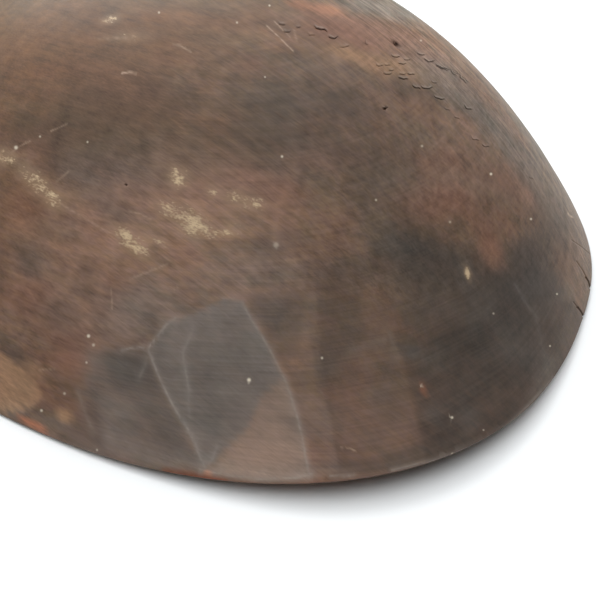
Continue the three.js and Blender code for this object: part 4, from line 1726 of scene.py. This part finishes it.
drawn_lines = line_group()
worn_threads = worn_group()
print("line group with", len(drawn_lines.nodes), "nodes, wear group with", len(worn_threads.nodes))

# %% [markdown]
# ## Tools for the woods
#
# All four pieces are wood, so they share what follows: a material with a low sheen, places in the
# frame of the trunk, clouds of noise, and ways to lay one colour over another. Colours were read
# from the photo, and one factor corrects them for the light of the studio.

# %% Helpers for the woods
ALBEDO = 1.09
SHEEN_LEVEL = 0.14
BUMP_DEPTH = 0.12 * MM


def shade(red, green, blue):
    """A colour of the photo as linear light, corrected for the light of the studio."""
    linear = screen(red, green, blue)
    return (linear[0] * ALBEDO, linear[1] * ALBEDO, linear[2] * ALBEDO, 1)


def group_node(tree, group, inputs):
    return put(tree, "ShaderNodeGroup", inputs, node_tree=group)


def new_material(name):
    material = bpy.data.materials.new(name)
    material.use_nodes = True
    tree = material.node_tree
    tree.nodes.clear()
    surface = put(tree, "ShaderNodeBsdfPrincipled")
    surface.inputs["Specular IOR Level"].default_value = SHEEN_LEVEL
    output = put(tree, "ShaderNodeOutputMaterial")
    tree.links.new(surface.outputs[0], output.inputs[0])
    return material, tree, surface


def trunk_place(tree, heart, tilt):
    """Places of the piece, and the same in the frame of the trunk that it was cut from."""
    where = put(tree, "ShaderNodeTexCoord").outputs["Object"]
    inputs = {"Vector": where, "Location": heart, "Rotation": (0, tilt, 0)}
    return where, put(tree, "ShaderNodeMapping", inputs, vector_type="TEXTURE").outputs[0]


def grain_of(tree, place, ring_width, thread_width):
    """The masks of the rings, the threads and the fine threads."""
    inputs = {"Place": place, "Ring Width": ring_width, "Thread Width": thread_width}
    grain = group_node(tree, timber_grain, inputs)
    return [grain.outputs[index] for index in range(3)]


def lines_of(tree, place, width, squeeze, detail):
    inputs = {"Place": place, "Line Width": width, "Squeeze": squeeze, "Detail": detail}
    return group_node(tree, drawn_lines, inputs).outputs[0]


def painted(tree, name):
    return put(tree, "ShaderNodeAttribute", attribute_name=name).outputs["Fac"]


def cloud(tree, place, size, detail=3.0):
    inputs = {"Vector": place, "Scale": 1 / size, "Detail": detail, "Roughness": 0.55}
    return put(tree, "ShaderNodeTexNoise", inputs).outputs[0]


def covered(tree, colour, mask, strength, tone):
    """Lays a colour of the photo over another, as far as a mask says."""
    return mixed(tree, times(tree, mask, strength), colour, shade(*tone))


def tinted(tree, colour, tint, share=1.0):
    return mixed(tree, share, colour, tint, "MULTIPLY")


def brightened(tree, colour, level):
    """Multiplies a colour by a level that changes with the grain."""
    grey = put(tree, "ShaderNodeCombineColor", {0: level, 1: level, 2: level})
    return tinted(tree, colour, grey.outputs[0])


def finish_surface(tree, surface, colour, rough, height, strength):
    """Links the colour, the roughness and the bumps of the grain to the shader."""
    inputs = {"Height": height, "Strength": strength, "Distance": BUMP_DEPTH}
    bump = put(tree, "ShaderNodeBump", inputs).outputs[0]
    for name, value in (("Base Color", colour), ("Roughness", rough), ("Normal", bump)):
        tree.links.new(value, surface.inputs[name])


print("a colour of the photo is multiplied by", ALBEDO)

# %% [markdown]
# ## The colours of the bowl
#
# The ground is a grey brown that drifts towards red, black and olive in clouds, and is warmer in some
# flecks and bluer in others. Over it come the painted stains, some of them painted shade, and, on the side
# that the photo doesn't show, clouds of the same colours. Wear, painted fill light, a painted sheen along
# the far edge and painted shade at the top left then make all of it paler or darker.

# %% The colours of the bowl
GROUND = (108, 88, 73)
WARM_TINT, BLUISH_TINT = (1.025, 1.0, 0.92, 1), (1.0, 1.0, 1.06, 1)
# Grey and pale also paint the light and shade of the flats; the pale colour is a painted highlight.
STAIN_COLOURS = (
    ("red", 0.75, (124, 87, 72)), ("grey", 0.75, (97, 90, 84)), ("painted_highlight", 0.7, (130, 110, 96)),
)
# The dark colour paints dark stains and painted shade alike.
STREAKY_COLOURS = (
    ("dark_and_shade", 0.92, (66, 60, 55)), ("tan", 0.85, (158, 122, 92)), ("orange", 1.0, (164, 106, 78)),
)
RUBBED = (122, 68, 50)
# Tints that multiply. The paler one is partly wear and partly painted fill light on the near side. The band
# along the far edge gets a painted sheen. The warm one is painted shade at the top left, and the scraped
# one is the flats' own tone.
TINTS = (
    ("worn_and_lightened", (1.55, 1.68, 1.76, 1)), ("weathered_and_sheen", (1.36, 1.53, 1.61, 1)),
    ("edge_sheen", (1.03, 1.2, 1.2, 1)), ("warm_and_shaded", (0.9, 0.77, 0.51, 1)), ("scraped", (0.98, 1.0, 1.02, 1)),
)


def clouded(tree, colour, within, rows):
    """Drifts in clouds: place, size in mm, detail, range of the noise, strength and colour."""
    for place, size, detail, low, high, strength, tone in rows:
        spread = ranged(tree, cloud(tree, place, size * MM, detail), low, high, 0, strength)
        colour = covered(tree, colour, spread, within, tone)
    return colour


def ground_colour(tree, where, along, shifted):
    colour = clouded(tree, shade(*GROUND), 1.0, (
        (where, 46, 3.0, 0.38, 0.66, 1, (116, 87, 71)),
        (where, 27, 3.0, 0.45, 0.7, 0.45, (84, 74, 62)),
        (along, 4, 5.0, 0.46, 0.62, 0.5, (93, 78, 64)),
        (shifted, 5, 5.0, 0.5, 0.64, 0.45, (120, 91, 75)),
    ))
    bluish = ranged(tree, cloud(tree, shifted, 1.2 * MM, 6.0), 0.38, 0.62)
    return mixed(tree, bluish, tinted(tree, colour, WARM_TINT), tinted(tree, colour, BLUISH_TINT))


def stained_colour(tree, colour, threads, along, shifted):
    for name, strength, tone in STAIN_COLOURS:
        colour = covered(tree, colour, painted(tree, name), strength, tone)
    streaky = plus(tree, times(tree, threads, 0.5), 0.72)
    for name, strength, tone in STREAKY_COLOURS:
        mask = times(tree, painted(tree, name), streaky, clamp=True)
        colour = covered(tree, colour, mask, strength, tone)
    colour = clouded(tree, colour, painted(tree, "unseen"), (
        (along, 16, 4.0, 0.5, 0.66, 0.6, (80, 70, 62)),
        (shifted, 12, 4.0, 0.52, 0.68, 0.4, (122, 88, 72)),
        (shifted, 21, 4.0, 0.55, 0.71, 0.4, (136, 114, 94)),
    ))
    colour = covered(tree, colour, painted(tree, "rubbed"), 1.0, RUBBED)
    for name, tint in TINTS:
        colour = tinted(tree, colour, tint, painted(tree, name))
    return colour


print(len(STAIN_COLOURS) + len(STREAKY_COLOURS) + 1, "colours of stains,", len(TINTS), "tints")

# %% [markdown]
# ## The wood of the bowl
#
# The grain changes the brightness a little, and how much depends on the place: the band along the far edge
# is streaked, and the scraped flats are smooth. On top of it lie worn threads, pale ridges and painted
# highlights, painted shade in the cracks, and dust. The sheen is that of wood rubbed with oil long ago.

# %% The wood of the bowl
HEART = Vector((BOWL_X + 4.7 * MM, 22 * MM, -53.5 * MM))
TRUNK_TILT = math.radians(20)
RING_WIDTH, THREAD_WIDTH = 1.1 * MM, 0.9 * MM
SCRAPER_LINES = (0.42 * MM, (0.02, 0.02, 1), 2.0)
STREAKS, HAIRS = (1.05 * MM, (0.03, 1, 0.03), 4.0), (0.33 * MM, (0.03, 1, 0.03), 3.0)
CREAM_UNDER, CREAM_OVER = (156, 130, 104), (202, 178, 144)
# Pale edges and painted highlights, scratches, specks of dust, and painted shade in the cracks, pits and
# checks.
TOP_COLOURS = (
    ("pale_edge_and_highlight", 0.7, (162, 153, 144)), ("scratch", 0.75, (184, 158, 136)),
    ("speck", 0.85, (226, 214, 192)), ("shaded_crack", 1.0, (38, 26, 20)),
)


def grained(tree, colour, patterns):
    """Changes the brightness by patterns: strength, and what the band along the far edge and the scraped
    flats add to it.
    """
    weathered_and_sheen, flat = painted(tree, "weathered_and_sheen"), painted(tree, "scraped")
    level = 1.0
    for pattern, anywhere, on_weathered, on_flat in patterns:
        share = plus(tree, times(tree, weathered_and_sheen, on_weathered), anywhere)
        share = plus(tree, share, times(tree, flat, on_flat))
        level = plus(tree, level, times(tree, minus(tree, pattern, 0.5), share))
    return brightened(tree, colour, level)


def bowl_wood_material():
    material, tree, surface = new_material("bowl_wood")
    where, place = trunk_place(tree, HEART, TRUNK_TILT)
    rings, threads, fine = grain_of(tree, place, RING_WIDTH, THREAD_WIDTH)
    scraped = lines_of(tree, where, *SCRAPER_LINES)
    streaked = lines_of(tree, where, *STREAKS)
    hairs = lines_of(tree, where, *HAIRS)
    along = stretched(tree, where, (0.4, 1, 1))
    shifted = stretched(tree, along, (0.3, 0, 0), "ADD")
    colour = ground_colour(tree, where, along, shifted)
    colour = stained_colour(tree, colour, threads, along, shifted)
    grime, smoke = cloud(tree, along, 1.8 * MM, 6.0), cloud(tree, where, 5.5 * MM, 2.0)
    colour = grained(tree, colour, (
        (rings, 0.4, 0, -0.3), (threads, 0.3, 0, -0.25), (fine, 0.72, 0.4, -0.3),
        (grime, 0.9, 0.1, -0.65), (smoke, 0.5, 0.1, -0.05), (streaked, 0.32, 1.28, -0.22),
        (scraped, 0.4, -0.1, 0.06), (hairs, 0.12, 1.0, -0.12),
    ))
    cream = painted(tree, "cream")
    colour = covered(tree, colour, cream, 0.5, CREAM_UNDER)
    worn_and_lightened = group_node(tree, worn_threads, {
        "Patch": times(tree, cream, 0.68), "Threads": cloud(tree, along, 0.32 * MM, 4.0),
        "Fine Threads": cloud(tree, along, 1.1 * MM, 3.0), "Softness": 0.22,
    })
    colour = covered(tree, colour, worn_and_lightened.outputs[0], 0.85, CREAM_OVER)
    for name, strength, tone in TOP_COLOURS:
        colour = covered(tree, colour, painted(tree, name), strength, tone)
    height = plus(tree, times(tree, threads, 0.5), times(tree, fine, 0.3))
    height = plus(tree, height, times(tree, scraped, 0.35))
    rough = ranged(tree, plus(tree, threads, painted(tree, "shaded_crack")), 0.3, 1.2, 0.44, 0.62)
    finish_surface(tree, surface, colour, rough, height, 0.35)
    return material


def dress(piece, material):
    piece.data.materials.clear()
    piece.data.materials.append(material)


bowl_wood = bowl_wood_material()
dress(bowl, bowl_wood)
print("bowl wood with", len(bowl_wood.node_tree.nodes), "nodes")

# %% [markdown]
# ## The wood of the handle, the wedge and the peg
#
# The handle is of the same brown wood, polished and darkened by hands, with its grain along it.
# The wedge is a pale riven slip, and the peg a dark whittled pin with its end grain hammered.


# %% The other woods
def stick_material(name, heart, tilt, ring_width, ground, deep, rough):
    """Wood with its grain along one axis, from a ground colour to a deeper one."""
    material, tree, surface = new_material(name)
    where, place = trunk_place(tree, heart, tilt)
    rings, threads, fine = grain_of(tree, place, ring_width, 0.8 * MM)
    drift = ranged(tree, cloud(tree, where, 22 * MM), 0.35, 0.68)
    colour = mixed(tree, drift, shade(*ground), shade(*deep))
    grainy = plus(tree, times(tree, threads, 0.4), 0.72)
    grainy = plus(tree, grainy, times(tree, rings, 0.3))
    grainy = plus(tree, grainy, times(tree, minus(tree, fine, 0.5), 0.3))
    colour = brightened(tree, colour, grainy)
    height = plus(tree, threads, times(tree, fine, 0.6))
    sheen = ranged(tree, threads, 0.3, 0.7, rough - 0.06, rough + 0.1)
    finish_surface(tree, surface, colour, sheen, height, 0.4)
    return material


along_handle = Vector((0, 31 * MM, handle_axis - 24 * MM))
along_peg = Vector((peg_x + 14 * MM, 9 * MM, 0))
for piece, name, heart, tilt, ring_width, ground, deep, rough in (
    (handle, "handle_wood", along_handle, 0, 1.3 * MM, (118, 92, 75), (98, 78, 65), 0.46),
    (wedge, "wedge_wood", along_handle, 0, 0.9 * MM, (168, 138, 102), (146, 116, 84), 0.6),
    (peg, "peg_wood", along_peg, math.pi / 2, 0.8 * MM, (104, 82, 68), (78, 62, 54), 0.55),
):
    dress(piece, stick_material(name, heart, tilt, ring_width, ground, deep, rough))
    print(piece.name, "is of", name)

# %% [markdown]
# ## The studio
#
# The scoop lies on white paper that the photo shows burnt out. The world is a sky that is bright
# overhead and behind the scoop and dark towards the photographer, so the gap under the near rim
# stays dark. One large soft lamp behind the scoop, up to the left, adds the soft shadow. Looked
# at straight, the sky is white, so a view from low down has a pale background.

# %% The floor and the lamps
PAPER_COLOUR, PAPER_ROUGHNESS, PAPER_SHEEN = (0.83, 0.84, 0.84, 1), 0.9, 0.1
PAPER_SIZE, PAPER_BELOW = 6, 0.1 * MM
SKY_COLOUR = (0.97, 0.985, 1, 1)
SKY_AZIMUTH, SKY_ELEVATION = math.radians(232), math.radians(66)
SKY_DARK_AT, SKY_LIGHT, SKY_SEEN = 0.42, 2.9, 1.1
LAMP_AZIMUTH, LAMP_ELEVATION = math.radians(238), math.radians(40)
LAMP_DISTANCE, LAMP_SIZE, LAMP_POWER = 1.4, 1, 11


def way_to(azimuth, elevation):
    """The direction of a light, by the compass of the camera and its height."""
    level = math.cos(elevation)
    return Vector((math.sin(azimuth) * level, -math.cos(azimuth) * level, math.sin(elevation)))


bpy.ops.object.select_all(action="DESELECT")
bpy.ops.mesh.primitive_plane_add(size=PAPER_SIZE, location=(0, 0, -PAPER_BELOW))
floor = bpy.context.active_object
floor.name = "paper_floor"
paper, _, paper_surface = new_material("white_paper")
for title, value in (
    ("Base Color", PAPER_COLOUR), ("Roughness", PAPER_ROUGHNESS), ("Specular IOR Level", PAPER_SHEEN),
):
    paper_surface.inputs[title].default_value = value
dress(floor, paper)
floor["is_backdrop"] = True

world = bpy.data.worlds.new("studio")
world.use_nodes = True
sky_tree = world.node_tree
sky = sky_tree.nodes["Background"]
sky.inputs["Color"].default_value = SKY_COLOUR
looking = put(sky_tree, "ShaderNodeTexCoord").outputs["Generated"]
sky_way = put(
    sky_tree, "ShaderNodeVectorMath",
    {0: looking, 1: way_to(SKY_AZIMUTH, SKY_ELEVATION)}, operation="DOT_PRODUCT",
)
glow = ranged(sky_tree, sky_way.outputs["Value"], SKY_DARK_AT, 1, 0, SKY_LIGHT)
looked_at = put(sky_tree, "ShaderNodeLightPath").outputs["Is Camera Ray"]
seen_glow = put(sky_tree, "ShaderNodeMix", {0: looked_at, 2: glow, 3: SKY_SEEN}).outputs[0]
sky_tree.links.new(seen_glow, sky.inputs["Strength"])
bpy.context.scene.world = world

lamp_data = bpy.data.lights.new("softbox", "AREA")
lamp_data.shape = "SQUARE"
lamp_data.size = LAMP_SIZE
lamp_data.energy = LAMP_POWER
lamp = bpy.data.objects.new("softbox", lamp_data)
lamp_way = way_to(LAMP_AZIMUTH, LAMP_ELEVATION)
lamp.location = Vector((BOWL_X, 0, 0)) + LAMP_DISTANCE * lamp_way
lamp.rotation_euler = lamp_way.to_track_quat("Z", "Y").to_euler()
bpy.context.scene.collection.objects.link(lamp)
bpy.context.scene.view_settings.view_transform = "Standard"
print("lamp at", [round(v, 3) for v in lamp.location])

# %% [markdown]
# ## The pieces on the frame
#
# Every piece stands for one node of the CAD, whose own mesh is hidden, and rides on its body. The size of
# the modelled scoop is printed, beside the CAD's boxes printed at the start.

# %% Riding on the frame
for piece, node, slot in (
    (bowl, "bowl", "bowl_wood"),
    (handle, "handle", "handle_wood"),
    (wedge, "tenon_wedge", "wedge_wood"),
    (peg, "locking_peg", "peg_wood"),
):
    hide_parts(node)
    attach(piece, "root")

low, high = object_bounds()
print("visual", [round(v, 4) for v in (*low, *high)])
